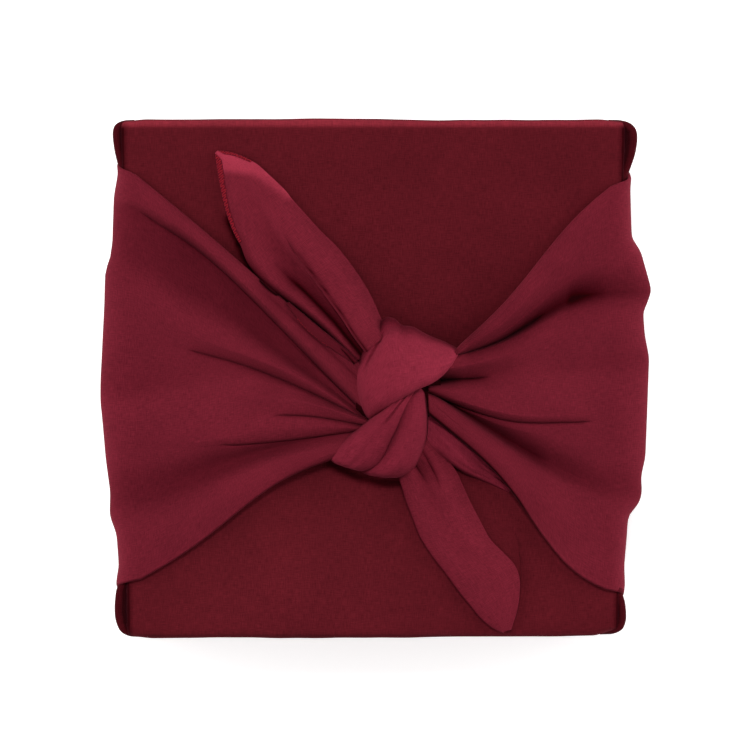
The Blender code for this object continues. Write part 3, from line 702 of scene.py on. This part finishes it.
# Painted shadows where the flap lies in the shade of the cloth beside it, and a painted lighter patch: a line
# over it, reach, depth
FLAP_SHADES = (
    (((-68.5, 75.5), (-64.6, 67.0), (-61.6, 59.1), (-58.0, 52.5)), 1.9, 4.6),
    (((-20.4, -40.6), (-13.3, -43.9), (-6.2, -47.3), (3.3, -49.8), (12.8, -49.6)), 2.2, 2.3),
    (((14.0, -52.0), (22.3, -68.0), (31.8, -82.3), (41.3, -94.3), (50.8, -107.0)), 1.5, 0.9),
    (((39.9, -43.5), (46.1, -47.3), (54.2, -49.6)), 2.0, 0.6),
    (((10.0, 20.0), (60.0, 30.0)), 25.0, 0.4),
    (((-60.0, -95.0), (-20.0, -90.0)), 35.0, -0.5),
)


def distance_to_line(points, line):
    """Distances in plan from points to a line of straight pieces."""
    nearest = np.full(len(points), np.inf)
    for start, end in zip(np.array(line[:-1]), np.array(line[1:])):
        run = end - start
        t = np.clip((points - start) @ run / (run @ run), 0, 1)[:, None]
        nearest = np.minimum(nearest, np.linalg.norm(points - start - t * run, axis=1))
    return nearest


def build_wrap():
    """Base, walls and the flat flap over the top, with a skin inside."""
    radii = (SIDE_FOLD_RADIUS, END_FOLD_RADIUS, END_FOLD_RADIUS)
    outer, quads, normal = block_skin(0.0, radii, WRAP_STEPS)
    wave = soft_noise(outer[:, 0] + outer[:, 2] * 0.7, outer[:, 1] + outer[:, 2] * 0.5, 60.0, 5)
    fine = soft_noise(outer[:, 0] - outer[:, 2], outer[:, 1] + outer[:, 2], 16.0, 6)
    lift = (BROAD_WAVE * wave + FINE_WAVE * fine) * (normal[:, 2] > -0.5)
    outer = outer + normal * lift[:, None]
    inner, inner_quads, _ = block_skin(COTTON, tuple(r - COTTON / 2 for r in radii), LINING_STEPS)
    verts = np.concatenate([outer, inner])
    near_end = np.clip(np.abs(verts[:, 1]) / WRAP_DEPTH * 2, 0, 1) ** 8
    corner = eased(np.abs(verts[:, 0]), *CORNER_CUT_FROM)
    in_front = verts[:, 1] < 0
    cut = CORNER_CUT + FRONT_RIGHT_CUT * in_front * (verts[:, 0] > 0)
    slant = FRONT_SLANT * np.clip(verts[:, 0] / BACK_HALF_WIDTH, 0, 1) * in_front
    verts[:, 1] -= near_end * (np.sign(verts[:, 1]) * cut * corner - slant)
    verts[:, 2] += WRAP_HEIGHT / 2
    verts[:, 0] *= half_width(verts[:, 1]) / BACK_HALF_WIDTH
    faces = np.concatenate([quads, inner_quads[:, ::-1] + len(outer)])
    flat = np.abs(normal[:, 2]) > 0.5
    uv = np.where(flat[:, None], outer[:, :2], outer[:, [0, 2]] + outer[:, [1, 1]] * [1, 0])
    obj = make_mesh("wrapped_cloth", verts, faces, np.concatenate([uv, uv]))
    outside = verts[: len(outer)]
    # Painted highlight over the back edge, painted shade over the front edge, painted shadows on the flap and
    # in the corner slots
    on_top = eased(outside[:, 2], *ON_FLAP)
    tone = BACK_STRIP_HIGHLIGHT * eased(outside[:, 1], *BACK_STRIP)
    tone -= FRONT_STRIP_SHADE * eased(outside[:, 1], *FRONT_STRIP)
    for line, reach, depth in FLAP_SHADES:
        tone -= depth * np.exp(-((distance_to_line(outside[:, :2], line) / reach) ** 2))
    in_slot = eased(np.abs(outside[:, 1]), *SLOT_REACH) * eased(outside[:, 2], *SLOT_DEPTH)
    in_slot *= eased(half_width(outside[:, 1]) - np.abs(outside[:, 0]), *SIDE_LINE)
    painted_shading = np.zeros(len(verts))
    painted_shading[: len(outer)] = on_top * tone - SLOT_SHADE * in_slot
    set_painted_shading(obj, painted_shading)
    weld = obj.modifiers.new("Weld", "WELD")
    weld.merge_threshold = WELD_REACH * MM
    return [obj]


PLEAT_STEPS = 90
PLEAT_LEVELS = 34
PLEAT_TURNS = 9
PLEAT_FACE = 14
PLEAT_FOOT = 3.0
PLEAT_THICKNESS = 0.6
PLEAT_SWAY = 0.25
PLEAT_TURN = 1.3  # radius of the fold along a pleat's top
PLEAT_FOLD_SHADE = -1.4  # painted shade on the fold itself, which lies lower than the flap
PLEAT_SHADE = -1.4  # and its inner face is hardly lit
PLEAT_TOP = WRAP_HEIGHT - 1.6
PLEAT_DROPS = ((4.0, 0.3, 0.0), (1.0, 0.6, 1.0))  # how much lower a pleat is at its ends, and from where
PLEAT_INSET = 0.6  # its hidden part lies in the wall
PLEAT_END = 122.4
PLEAT_DEPTH = 11.0  # how far the cloth falls behind it, against the box
PLEAT_FREE = (1.0, 9.0)  # past a wing's edge a pleat can stand out from the wall
WING_TOP_HALF_SPAN = 100.0


def build_pleats():
    """Soft folds at the corners: up the outside, over a rounded top, and down against the box."""
    made = []
    share = np.linspace(0, 1, PLEAT_STEPS)[:, None]
    level = np.linspace(0, 1, PLEAT_LEVELS)[None, :]
    turn = np.linspace(0, np.pi, PLEAT_TURNS + 1)[None, 1:]
    fall = np.linspace(0, 1, PLEAT_FACE + 1)[None, 1:]
    back = PLEAT_TURN * (1 - np.cos(turn))
    top = PLEAT_TOP - sum(drop * eased(share, *ends) for drop, *ends in PLEAT_DROPS)
    depth = PLEAT_DEPTH * np.sin(np.pi * np.clip(share, 0.05, 0.98)) ** 0.5
    wing_edge = WING_FOOT_HALF_SPAN + (WING_TOP_HALF_SPAN - WING_FOOT_HALF_SPAN) * level
    for k, (side, end, outline) in enumerate(PLEATS):
        path = through_rows(outline, PLEAT_STEPS)
        path_x, path_y = path[:, :1], path[:, 1:]
        run = np.gradient(path, axis=0)
        inward = np.stack([-run[:, 1], run[:, 0]], axis=1) / np.hypot(*run.T)[:, None]
        inward *= -np.sign(inward[:, :1] + 1e-9)
        wall_x = half_width(end * path_y) - PLEAT_INSET
        close_x, close_y = np.minimum(path_x, wall_x), np.minimum(path_y, PLEAT_END)
        free = eased(path_y - wing_edge, *PLEAT_FREE)
        full = np.sin(np.pi / 2 * level) ** 0.8 * (free + (1 - free) * level**4)
        outside = (
            close_x + (path_x - close_x) * full,
            close_y + (path_y - close_y) * full,
            PLEAT_FOOT + (top - PLEAT_TURN - PLEAT_FOOT) * level,
        )
        over = (
            path_x + inward[:, :1] * back,
            path_y + inward[:, 1:] * back,
            top - PLEAT_TURN + PLEAT_TURN * np.sin(turn),
        )
        last_x, last_y, last_z = (values[:, -1:] for values in over)
        target_x = np.minimum(last_x, wall_x - 0.4)
        behind = (
            last_x + (target_x - last_x) * fall**0.8,
            last_y - 0.6 * fall,
            last_z - depth * fall**1.2,
        )
        x, y, z = (np.concatenate(columns, axis=1) for columns in zip(outside, over, behind))
        wave = soft_noise(share * 40 + 0 * x, z, 24.0, 60 + k)
        grid = np.stack([side * (x + PLEAT_SWAY * wave), end * y, z], axis=2)
        raised = np.clip(np.arange(x.shape[1]) / PLEAT_LEVELS, 0, 1)
        painted_shading = np.full(x.shape, PLEAT_FOLD_SHADE) * raised**4
        painted_shading[:, PLEAT_LEVELS + PLEAT_TURNS // 2 :] = PLEAT_SHADE
        obj = closed_sheet(f"corner_pleat_{k}", grid, PLEAT_THICKNESS, side * end < 0, painted_shading)
        made.append(obj)
    return made


LOBE_STEPS = 120
LOBE_TOP = 80
LOBE_UNDER = 28
LOBE_RIM = (0.62, 0.15)  # shares of its height between which a lobe turns under
# Painted shade where a lobe turns under
LOBE_RIM_SHADE = 2.2
LOBE_BELLY = 0.12  # how far its under side hangs down, as a share of its height
LOBE_TROUGH_ENDS = (0.12, 0.15)


def lobe_grid(rows, troughs, fullness, seed):
    """Rings of points along a lobe, over its top and back under it, and where they turn under."""
    line = through_rows(rows, LOBE_STEPS)
    left, right = line[:, None, 0:2], line[:, None, 2:4]
    low_left, high, low_right, crest = (line[:, k : k + 1] for k in (4, 5, 6, 7))
    full_left, full_right = fullness
    share = np.linspace(0, 1, LOBE_STEPS)[:, None]
    t = (0.5 - 0.5 * np.cos(np.linspace(0, np.pi, LOBE_TOP, endpoint=False)))[None, :]
    before, after = np.clip(1 - t / crest, 0, 1), np.clip((t - crest) / (1 - crest), 0, 1)
    rising = (1 - before**full_left) ** (1 / full_left)
    falling = (1 - after**full_right) ** (1 / full_right)
    arch = np.where(t < crest, rising, falling) + 0 * share
    low = np.where(t < crest, low_left, low_right)
    z = low + (high - low) * arch
    for start, end, depth, width, first, last in troughs:
        spot = start + (end - start) * share
        fade = fading(share, first - 0.02, last, *LOBE_TROUGH_ENDS)
        z = z - depth * fade * np.sqrt(arch) * np.exp(-(((t - spot) / width) ** 2))
    gather = soft_noise(t * 60 + 0 * share, share * 22, 9.0, seed)
    z = z + WRINKLE * gather * arch
    back = (0.5 + 0.5 * np.cos(np.linspace(0, np.pi, LOBE_UNDER, endpoint=False)))[None, :]
    under = low_left + (low_right - low_left) * back
    under = under - LOBE_BELLY * (high - under) * np.sqrt(np.clip(1 - (2 * back - 1) ** 2, 0, 1))
    t = np.concatenate([t, back], axis=1) + 0 * share
    z = WRAP_HEIGHT + np.concatenate([z, under], axis=1)
    flat = left + (right - left) * t[:, :, None]
    rim = np.concatenate([eased(arch, *LOBE_RIM), np.ones((LOBE_STEPS, LOBE_UNDER))], axis=1)
    return np.concatenate([flat, z[:, :, None]], axis=2), rim


def closed_tube(name, grid, painted_shading):
    """A tube of rings with its two ends closed."""
    steps, sides = grid.shape[:2]
    quads = grid_quads(steps, sides, wrap_columns=True)
    i = np.arange(sides // 2 - 1)
    cap = np.stack([i, i + 1, sides - 2 - i, sides - 1 - i], axis=1)
    quads = np.concatenate([quads, cap, cap[:, ::-1] + (steps - 1) * sides])
    around = grid_lengths(grid)[1]
    along = run_along(grid.mean(axis=1))
    uv = np.stack(np.meshgrid(around, along), axis=2).reshape(-1, 2)
    obj = make_mesh(name, grid.reshape(-1, 3), quads, uv)
    set_painted_shading(obj, painted_shading)
    return obj, float(along[-1])


def build_knot():
    made = []
    for k, (name, rows) in enumerate(KNOT_LOBES.items()):
        *fullness, start, end = LOBE_LOOKS[name]
        grid, rim = lobe_grid(rows, LOBE_TROUGHS[name], fullness, 40 + k)
        # Painted light and shade along the lobe, and painted shade where it turns under
        tone = np.linspace(start, end, LOBE_STEPS)[:, None] - LOBE_RIM_SHADE * rim
        obj, length = closed_tube(name, grid, tone)
        made.append(obj)
    return made


TAIL_STEPS = 150
TAIL_THICKNESS = 0.8
TAIL_PER_FOLD = 16
TAIL_CREASE_SHADE = 3.0
TAIL_CREASE_ENDS = (0.08, 0.14)
TAIL_WIDTH = 30.0  # a middling width, which turns shares across a tail into distances
# Between the upper face of a layer of the back tail and the wing that it lies on
CLEARANCES = {"tail_back": 2.1, "tail_back_under": 1.0}
# Painted highlight where a tail's right edge curls up to the light: how light, the shares of its length, how
# far in it reaches
TAIL_CURL_HIGHLIGHTS = {"tail_back": (4.1, (0.53, 0.60, 0.68, 0.74, 0.80, 0.88), (-4.6, 0.4, 2.0, 4.4, 8.5, 13.5))}
CURL_HIGHLIGHT_BLEND = (-4.6, 2.6)  # from the unpainted cloth to the painted highlight, about the line that it reaches


def tail_grid(rows, folds, creases, curl_highlight, seed):
    """A tail's points, in rows from the knot to the tip, and their painted light and shade."""
    line = through_rows(rows, TAIL_STEPS)
    left, right = line[:, None, 0:2], line[:, None, 2:4]
    share = np.linspace(0, 1, TAIL_STEPS)
    places = fold_values(folds, 0, share) * TAIL_WIDTH
    across, rise = rounded_between(places, fold_values(folds, 1, share), TAIL_PER_FOLD)
    _, painted_shading = rounded_between(places, fold_values(folds, 2, share), TAIL_PER_FOLD)

    def folded():
        for start, end, depth, width, overlap, low, high in creases:
            crease = (start + (end - start) * share[:, None] / high) * TAIL_WIDTH
            fade = fading(share, low, high, *TAIL_CREASE_ENDS)[:, None]
            yield depth, overlap, *folded_over(across, crease, width, fade)

    for depth, overlap, trough, lap in folded():
        rise = rise - depth * trough
        across = across - overlap * lap
    for _, _, trough, _ in folded():
        painted_shading = painted_shading - TAIL_CREASE_SHADE * trough
    across = across / TAIL_WIDTH
    # Painted highlight along the curl
    if curl_highlight is not None:
        tone, places_along, reaches = curl_highlight
        reach = np.interp(share, places_along, reaches)[:, None]
        span = np.linalg.norm(right - left, axis=2)
        painted_shading = painted_shading + tone * eased(reach - (1 - across) * span, *CURL_HIGHLIGHT_BLEND)
    flat = left + (right - left) * across[:, :, None]
    wrinkle = soft_noise(flat[..., 0], flat[..., 1], 14.0, seed)
    z = WRAP_HEIGHT + rise + WRINKLE * wrinkle * np.sin(np.pi * np.clip(across, 0, 1))
    return np.concatenate([flat, z[:, :, None]], axis=2), painted_shading


# Overlocked edges of the tails: name, tail, edge, width, the shares of its length between which it shows,
# and painted shade
HEMS = (
    ("hem_back_left", "tail_back", "left", 4.2, 0.59, 0.99, -0.5),
    ("hem_back_right", "tail_back", "right", 3.4, 0.80, 0.99, -0.4),
    ("hem_back_under", "tail_back_under", "left", 2.4, 0.22, 0.70, -1.2),
    ("hem_front_left", "tail_front", "left", 1.6, 0.66, 0.99, -2.2),
    ("hem_front_right", "tail_front", "right", 2.4, 0.74, 0.99, -1.2),
    ("hem_front_under", "tail_front_under", "right", 1.2, 0.50, 0.90, -2.0),
)
HEM_THICKNESS = 0.25
HEM_WIDEST = 0.4  # as a share of the sheet's own width
STITCH_PITCH = 1.15
STITCH_RADIUS = 0.34
STITCH_SPAN = (-0.08, 0.92)  # across the hem, from its edge
STITCH_LEANS = (-0.30, 0.45)  # to and fro, in pitches
LEAN_SLIP = (-0.3, 0.3)  # unevenness of the leans
SPAN_SLIP = (-0.24, 0.10)  # and of how far in the stitches reach
STITCH_LIFTS = (0.0, 0.5, 0.5, 0.5, 0.5, 0.5, 0.5, 0.1)  # over the cloth, along a stitch
STITCH_STEPS = len(STITCH_LIFTS)
STITCH_TAPER = (0.12, 0.88)  # shares of half a wave that its radius follows
HEM_TAPER = 0.4  # a hem's width at its start, as a share of its width at the tip
# Across a hem: place in from the edge as a share of its width, and height over the cloth
HEM_SECTION = ((-0.08, -0.9), (-0.12, -0.3), (-0.08, 0.1), (0.0, 0.3), (0.3, 0.38), (0.7, 0.36), (1.0, 0.06))
STITCH_SIDES = 6
UP = np.array([0.0, 0.0, 1.0])


def edge_frame(grid, edge):
    """The grid with its columns counted in from the given edge, and the way in from that edge."""
    grid = grid if edge == "left" else grid[:, ::-1]
    inward = grid[:, 8] - grid[:, 0]
    inward[:, 2] = 0
    inward /= np.linalg.norm(inward, axis=1, keepdims=True)
    return grid, inward


def in_from_edge(row, inward, distance):
    """A point on a row of a sheet at a distance in from its edge, or straight out from it."""
    if distance <= 0:
        return row[0] + inward * distance
    along = run_along(row)
    return np.array([np.interp(distance, along, row[:, axis]) for axis in range(3)])


def build_hem(name, grid, edge, full_width, first, last, shade):
    """The turned hem along an edge of a sheet, and the zigzag of its overlock stitches."""
    grid, inward = edge_frame(grid, edge)
    final = len(grid) - 1
    rows = np.arange(int(first * final), int(last * final) + 1)
    taper = np.interp(np.arange(len(grid)), rows[[0, -1]], (HEM_TAPER, 1.0))
    across = np.linalg.norm(grid[:, -1] - grid[:, 0], axis=1)
    width = np.minimum(full_width * taper, HEM_WIDEST * across)

    def over(i, place, lift):
        return in_from_edge(grid[i], inward[i], place * width[i]) + UP * lift

    strip = np.array([[over(i, place, lift) for place, lift in HEM_SECTION] for i in rows])
    # Painted shade on the hem
    painted_shading = np.full(strip.shape[:2], shade)
    hem = closed_sheet(name, strip, HEM_THICKNESS, edge == "left", painted_shading)
    along = run_along(grid[rows, 0])
    count = int(along[-1] / STITCH_PITCH)
    rng = np.random.default_rng(int(1000 * first) + count)
    turn = np.linspace(0, 2 * np.pi, STITCH_SIDES, endpoint=False)[None, :, None]
    radius = STITCH_RADIUS * np.sin(np.pi * np.linspace(*STITCH_TAPER, STITCH_STEPS)) ** 0.5
    verts = []
    for n in range(count):
        spot = np.interp((n + 0.5) * STITCH_PITCH, along, np.arange(len(rows)))
        i = rows[int(spot)]
        ahead = grid[min(i + 1, final), 0]
        forward = ahead - grid[max(i - 1, 0), 0]
        forward = forward / np.linalg.norm(forward)
        shift = (spot - int(spot)) * np.linalg.norm(ahead - grid[i, 0])
        lean = STITCH_PITCH * STITCH_LEANS[n % 2] + rng.uniform(*LEAN_SLIP)
        start, reach = STITCH_SPAN
        reach = reach + rng.uniform(*SPAN_SLIP)
        centres = []
        for u, lift in zip(np.linspace(0, 1, STITCH_STEPS), STITCH_LIFTS):
            along_edge = forward * (shift + lean * (u - 0.5))
            centres.append(over(i, start + (reach - start) * u, lift) + along_edge)
        around = forward * np.cos(turn) + UP * np.sin(turn)
        points = np.array(centres)[:, None, :] + around * radius[:, None, None]
        verts.append(points.reshape(-1, 3))
    ring = grid_quads(STITCH_STEPS, STITCH_SIDES, wrap_columns=True)
    quads = [ring + n * STITCH_STEPS * STITCH_SIDES for n in range(count)]
    return hem, make_mesh(name + "_stitches", np.concatenate(verts), np.concatenate(quads))


def laid_over(grid, below, clearance):
    """The grid lifted clear of the piece below it, where it would pass through."""
    triangles = [tuple(p.vertices) for p in below.data.polygons]
    tree = BVHTree.FromPolygons([v.co for v in below.data.vertices], triangles)
    start_height = 2 * WRAP_HEIGHT * MM
    for point in grid.reshape(-1, 3):
        hit = tree.ray_cast(Vector((point[0] * MM, point[1] * MM, start_height)), Vector((0, 0, -1)))[0]
        if hit is not None:
            point[2] = max(point[2], hit.z / MM + clearance)
    return grid


def build_tails(left_wing):
    made = []
    for k, (name, rows) in enumerate(TAILS.items()):
        curl_highlight = TAIL_CURL_HIGHLIGHTS.get(name)
        grid, painted_shading = tail_grid(rows, TAIL_FOLDS[name], TAIL_CREASES[name], curl_highlight, 70 + k)
        if name in CLEARANCES:
            grid = laid_over(grid, left_wing, CLEARANCES[name])
        obj = closed_sheet(name, grid, TAIL_THICKNESS, True, painted_shading)
        trims = []
        for hem_name, tail, *place in HEMS:
            if tail == name:
                trims.extend(build_hem(hem_name, grid, *place))
        made.append(obj)
        made.extend(trims)
    return made


# ---------------------------------------------------------------- materials


def fill(tree, node, sockets):
    """Gives a node's sockets their values, or links them to the output given."""
    for key, value in sockets.items():
        if isinstance(value, bpy.types.NodeSocket):
            tree.links.new(value, node.inputs[key])
        else:
            node.inputs[key].default_value = value


def new_material(name, sockets):
    """A material whose Principled BSDF has the given values, and its node tree and shader."""
    material = bpy.data.materials.new(name)
    material.use_nodes = True
    tree = material.node_tree
    shader = tree.nodes["Principled BSDF"]
    fill(tree, shader, sockets)
    return material, tree, shader


def add(tree, kind, sockets=(), **settings):
    """The outputs of a new node, with its settings and what goes into its sockets."""
    node = tree.nodes.new(kind)
    for key, value in settings.items():
        setattr(node, key, value)
    fill(tree, node, dict(sockets))
    return node.outputs


def ramp(tree, factor, low, high, ends=(0.0, 1.0)):
    """A colour that runs from low to high with a factor, between its two ends."""
    node = tree.nodes.new("ShaderNodeValToRGB")
    for element, place, colour in zip(node.color_ramp.elements, ends, (low, high)):
        element.position = place
        element.color = (*colour, 1)
    fill(tree, node, {"Fac": factor})
    return node.outputs["Color"]


PAINTED_SHADING_TONE = Vector((0.31, 0.38, 0.36))  # painted light on raised cloth and painted shade in its valleys, for each colour channel
EVEN = Vector((1.0, 1.0, 1.0))
# The darkest that painted shade makes the cloth
LEAST_TONE = Vector((0.08, 0.05, 0.06))
COTTON_SOCKETS = {
    "Roughness": 0.92,
    "Specular IOR Level": 0.04,
    "Specular Tint": (1.0, 0.30, 0.40, 1.0),
    "Sheen Weight": 0.06,
    "Sheen Roughness": 0.50,
    "Sheen Tint": (1.0, 0.18, 0.27, 1.0),
}
THREAD_SOCKETS = {"Roughness": 0.6, "Specular IOR Level": 0.08, "Specular Tint": (1.0, 0.30, 0.40, 1.0)}
YARNS = ((2600.0, 260.0, 1.0), (260.0, 2600.0, 1.0))  # warp and weft: how often they repeat in a metre


def cotton_material(name, tone_low, tone_high):
    """Deep burgundy plain-weave cotton: yarns in relief, slightly uneven dye, a short fuzz, and painted light
    and shade from an attribute of each point.
    """
    material, tree, shader = new_material(name, COTTON_SOCKETS)
    place = add(tree, "ShaderNodeTexCoord")
    cloud = {"Vector": place["Object"], "Scale": 28.0, "Detail": 6.0, "Roughness": 0.75}
    tone = ramp(tree, add(tree, "ShaderNodeTexNoise", cloud)["Fac"], tone_low, tone_high, (0.3, 0.7))
    yarns = []
    for scale in YARNS:
        along = add(tree, "ShaderNodeMapping", {"Vector": place["UV"], "Scale": scale})["Vector"]
        yarn = {"Vector": along, "Scale": 1.0, "Detail": 2.0}
        yarns.append(add(tree, "ShaderNodeTexNoise", yarn)["Fac"])
    weave = add(tree, "ShaderNodeMath", dict(enumerate(yarns)), operation="ADD")["Value"]
    levels = {"Value": weave, "From Min": 0.7, "From Max": 1.3, "To Min": 0.75, "To Max": 1.25}
    shade = add(tree, "ShaderNodeMapRange", levels)["Result"]

    # Painted light and shade: the colour is scaled by each point's painted light and shade attribute, down to
    # LEAST_TONE
    vector = "ShaderNodeVectorMath"
    painted_shading = add(tree, "ShaderNodeAttribute", attribute_name="painted_shading")["Fac"]
    painted_light_factor = {0: painted_shading, 1: PAINTED_SHADING_TONE, 2: EVEN}
    painted_light_factor = add(tree, vector, painted_light_factor, operation="MULTIPLY_ADD")["Vector"]
    limited = add(tree, vector, {0: painted_light_factor, 1: LEAST_TONE}, operation="MAXIMUM")["Vector"]
    depth = add(tree, vector, {"Vector": limited, "Scale": shade}, operation="SCALE")["Vector"]
    mix = {"Factor": 1.0, "A": tone, "B": depth}
    colour = add(tree, "ShaderNodeMix", mix, data_type="RGBA", blend_type="MULTIPLY")["Result"]
    bump = {"Height": weave, "Strength": 0.35, "Distance": 0.00025}
    bump = add(tree, "ShaderNodeBump", bump)["Normal"]
    fill(tree, shader, {"Base Color": colour, "Normal": bump})
    return material


def textured_material(name, sockets, kind, texture_sockets, low, high):
    """A material that runs from one colour to another with a texture over the object."""
    material, tree, shader = new_material(name, sockets)
    place = add(tree, "ShaderNodeTexCoord")["Object"]
    texture = add(tree, kind, {"Vector": place, **texture_sockets})["Fac"]
    fill(tree, shader, {"Base Color": ramp(tree, texture, low, high)})
    return material


def thread_material(name, low, high):
    """Polyester overlock thread, a brighter red than the cloth, with its twist."""
    twist = {"Scale": 900.0, "Distortion": 2.0}
    return textured_material(name, THREAD_SOCKETS, "ShaderNodeTexWave", twist, low, high)


def carton_material():
    fibre = {"Scale": 180.0, "Detail": 6.0}
    tones = (0.44, 0.36, 0.27), (0.60, 0.52, 0.41)
    return textured_material("plain_carton", {"Roughness": 0.8}, "ShaderNodeTexNoise", fibre, *tones)


# ---------------------------------------------------------------- stage, light and camera

FLOOR_HALF = 4000.0
FLOOR_GAP = 0.05
FLOOR_SOCKETS = {
    "Base Color": (0.92, 0.92, 0.92, 1),
    "Roughness": 0.9,
    "Emission Color": (1.0, 1.0, 1.0, 1),
    "Emission Strength": 0.55,  # the white table is lit from below too
}


def floor():
    size = FLOOR_HALF
    corners = np.array([(-size, -size, 0), (size, -size, 0), (size, size, 0), (-size, size, 0)])
    obj = make_mesh("floor", corners - [0, 0, FLOOR_GAP], np.array([[0, 1, 2, 3]]))
    obj.data.materials.append(new_material("pale_floor", FLOOR_SOCKETS)[0])


def soft_sun(name, azimuth, elevation, spread, strength):
    """A wide, even light from far away. Azimuth is from +X towards +Y; all angles are in degrees."""
    light = bpy.data.lights.new(name, "SUN")
    light.angle = math.radians(spread)
    light.energy = math.pi * strength
    a, e = math.radians(azimuth), math.radians(elevation)
    place = Vector((math.cos(e) * math.cos(a), math.cos(e) * math.sin(a), math.sin(e)))
    obj = placed(name, light)
    obj.location = place * 2
    obj.rotation_euler = place.to_track_quat("Z", "Y").to_euler()


LIGHTS = (
    # name, azimuth, elevation, spread, strength
    ("window", 95, 70, 11, 0.48),
    ("left_fill", 172, 20, 50, 0.64),
    ("right_fill", 10, 20, 50, 0.66),
    ("front_fill", -90, 64, 30, 0.16),
)
ROOM_LIGHT = 0.09


def lighting():
    for row in LIGHTS:
        soft_sun(*row)
    world = bpy.data.worlds.new("soft_room")
    bpy.context.scene.world = world
    world.use_nodes = True
    background = world.node_tree.nodes["Background"]
    background.inputs["Color"].default_value = (1.0, 0.99, 0.98, 1)
    background.inputs["Strength"].default_value = ROOM_LIGHT


def camera():
    data = bpy.data.cameras.new("overhead")
    data.sensor_width = SENSOR
    data.lens = SENSOR * CAMERA_HEIGHT / (PHOTO_SIDE * MM_PER_PIXEL)
    data.clip_end = 20
    middle = PHOTO_SIDE / 2
    x = (middle - MIDDLE_PIXEL[0]) * MM_PER_PIXEL
    y = (MIDDLE_PIXEL[1] - middle) * MM_PER_PIXEL
    obj = placed("overhead", data)
    obj.location = (x * MM, y * MM, (WRAP_HEIGHT + CAMERA_HEIGHT) * MM)
    bpy.context.scene.camera = obj


# ---------------------------------------------------------------- assembly

camera()
lighting()
floor()
# One cotton, with copies painted lighter for the raised wings and tails and lighter still for the knot, as
# they catch more light
flat_cotton = cotton_material("burgundy_cotton", (0.079, 0.0064, 0.0103), (0.100, 0.0080, 0.0129))
painted_light_cotton = cotton_material(
    "burgundy_cotton_painted_light", (0.110, 0.0090, 0.0172), (0.138, 0.0113, 0.0215)
)
painted_lighter_cotton = cotton_material("burgundy_cotton_painted_lighter", (0.148, 0.0122, 0.0245), (0.182, 0.0150, 0.0301))
thread = thread_material("overlock_thread", (0.210, 0.0076, 0.0150), (0.380, 0.0150, 0.0290))
# A darker copy of the thread, with painted shade for the stitches of the front tail
painted_shade_thread = thread_material("overlock_thread_painted_shade", (0.075, 0.0030, 0.0060), (0.150, 0.0060, 0.0120))


def finish_of(name, cotton):
    """The material of a piece in a group that has the given cotton: stitches on the front tail get the thread
    with painted shade, and the front tail's under layer and its hem the darkest cotton.
    """
    if name.endswith("_stitches"):
        return painted_shade_thread if "front" in name else thread
    return flat_cotton if name.endswith("front_under") else cotton


wings = build_wings()
dressed = (
    (flat_cotton, build_wrap() + build_pleats()),
    (painted_light_cotton, wings + build_tails(wings[0])),
    (painted_lighter_cotton, build_knot()),
)
for cotton, pieces in dressed:
    for piece in pieces:
        piece.data.materials.append(finish_of(piece.name, cotton))
        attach(piece, BODY)
        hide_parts(CLOTH_NODE)
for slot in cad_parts[BOX_NODE].material_slots:
    slot.material = carton_material()

scene = bpy.context.scene
scene.view_settings.view_transform = "Standard"
scene.view_settings.look = "None"
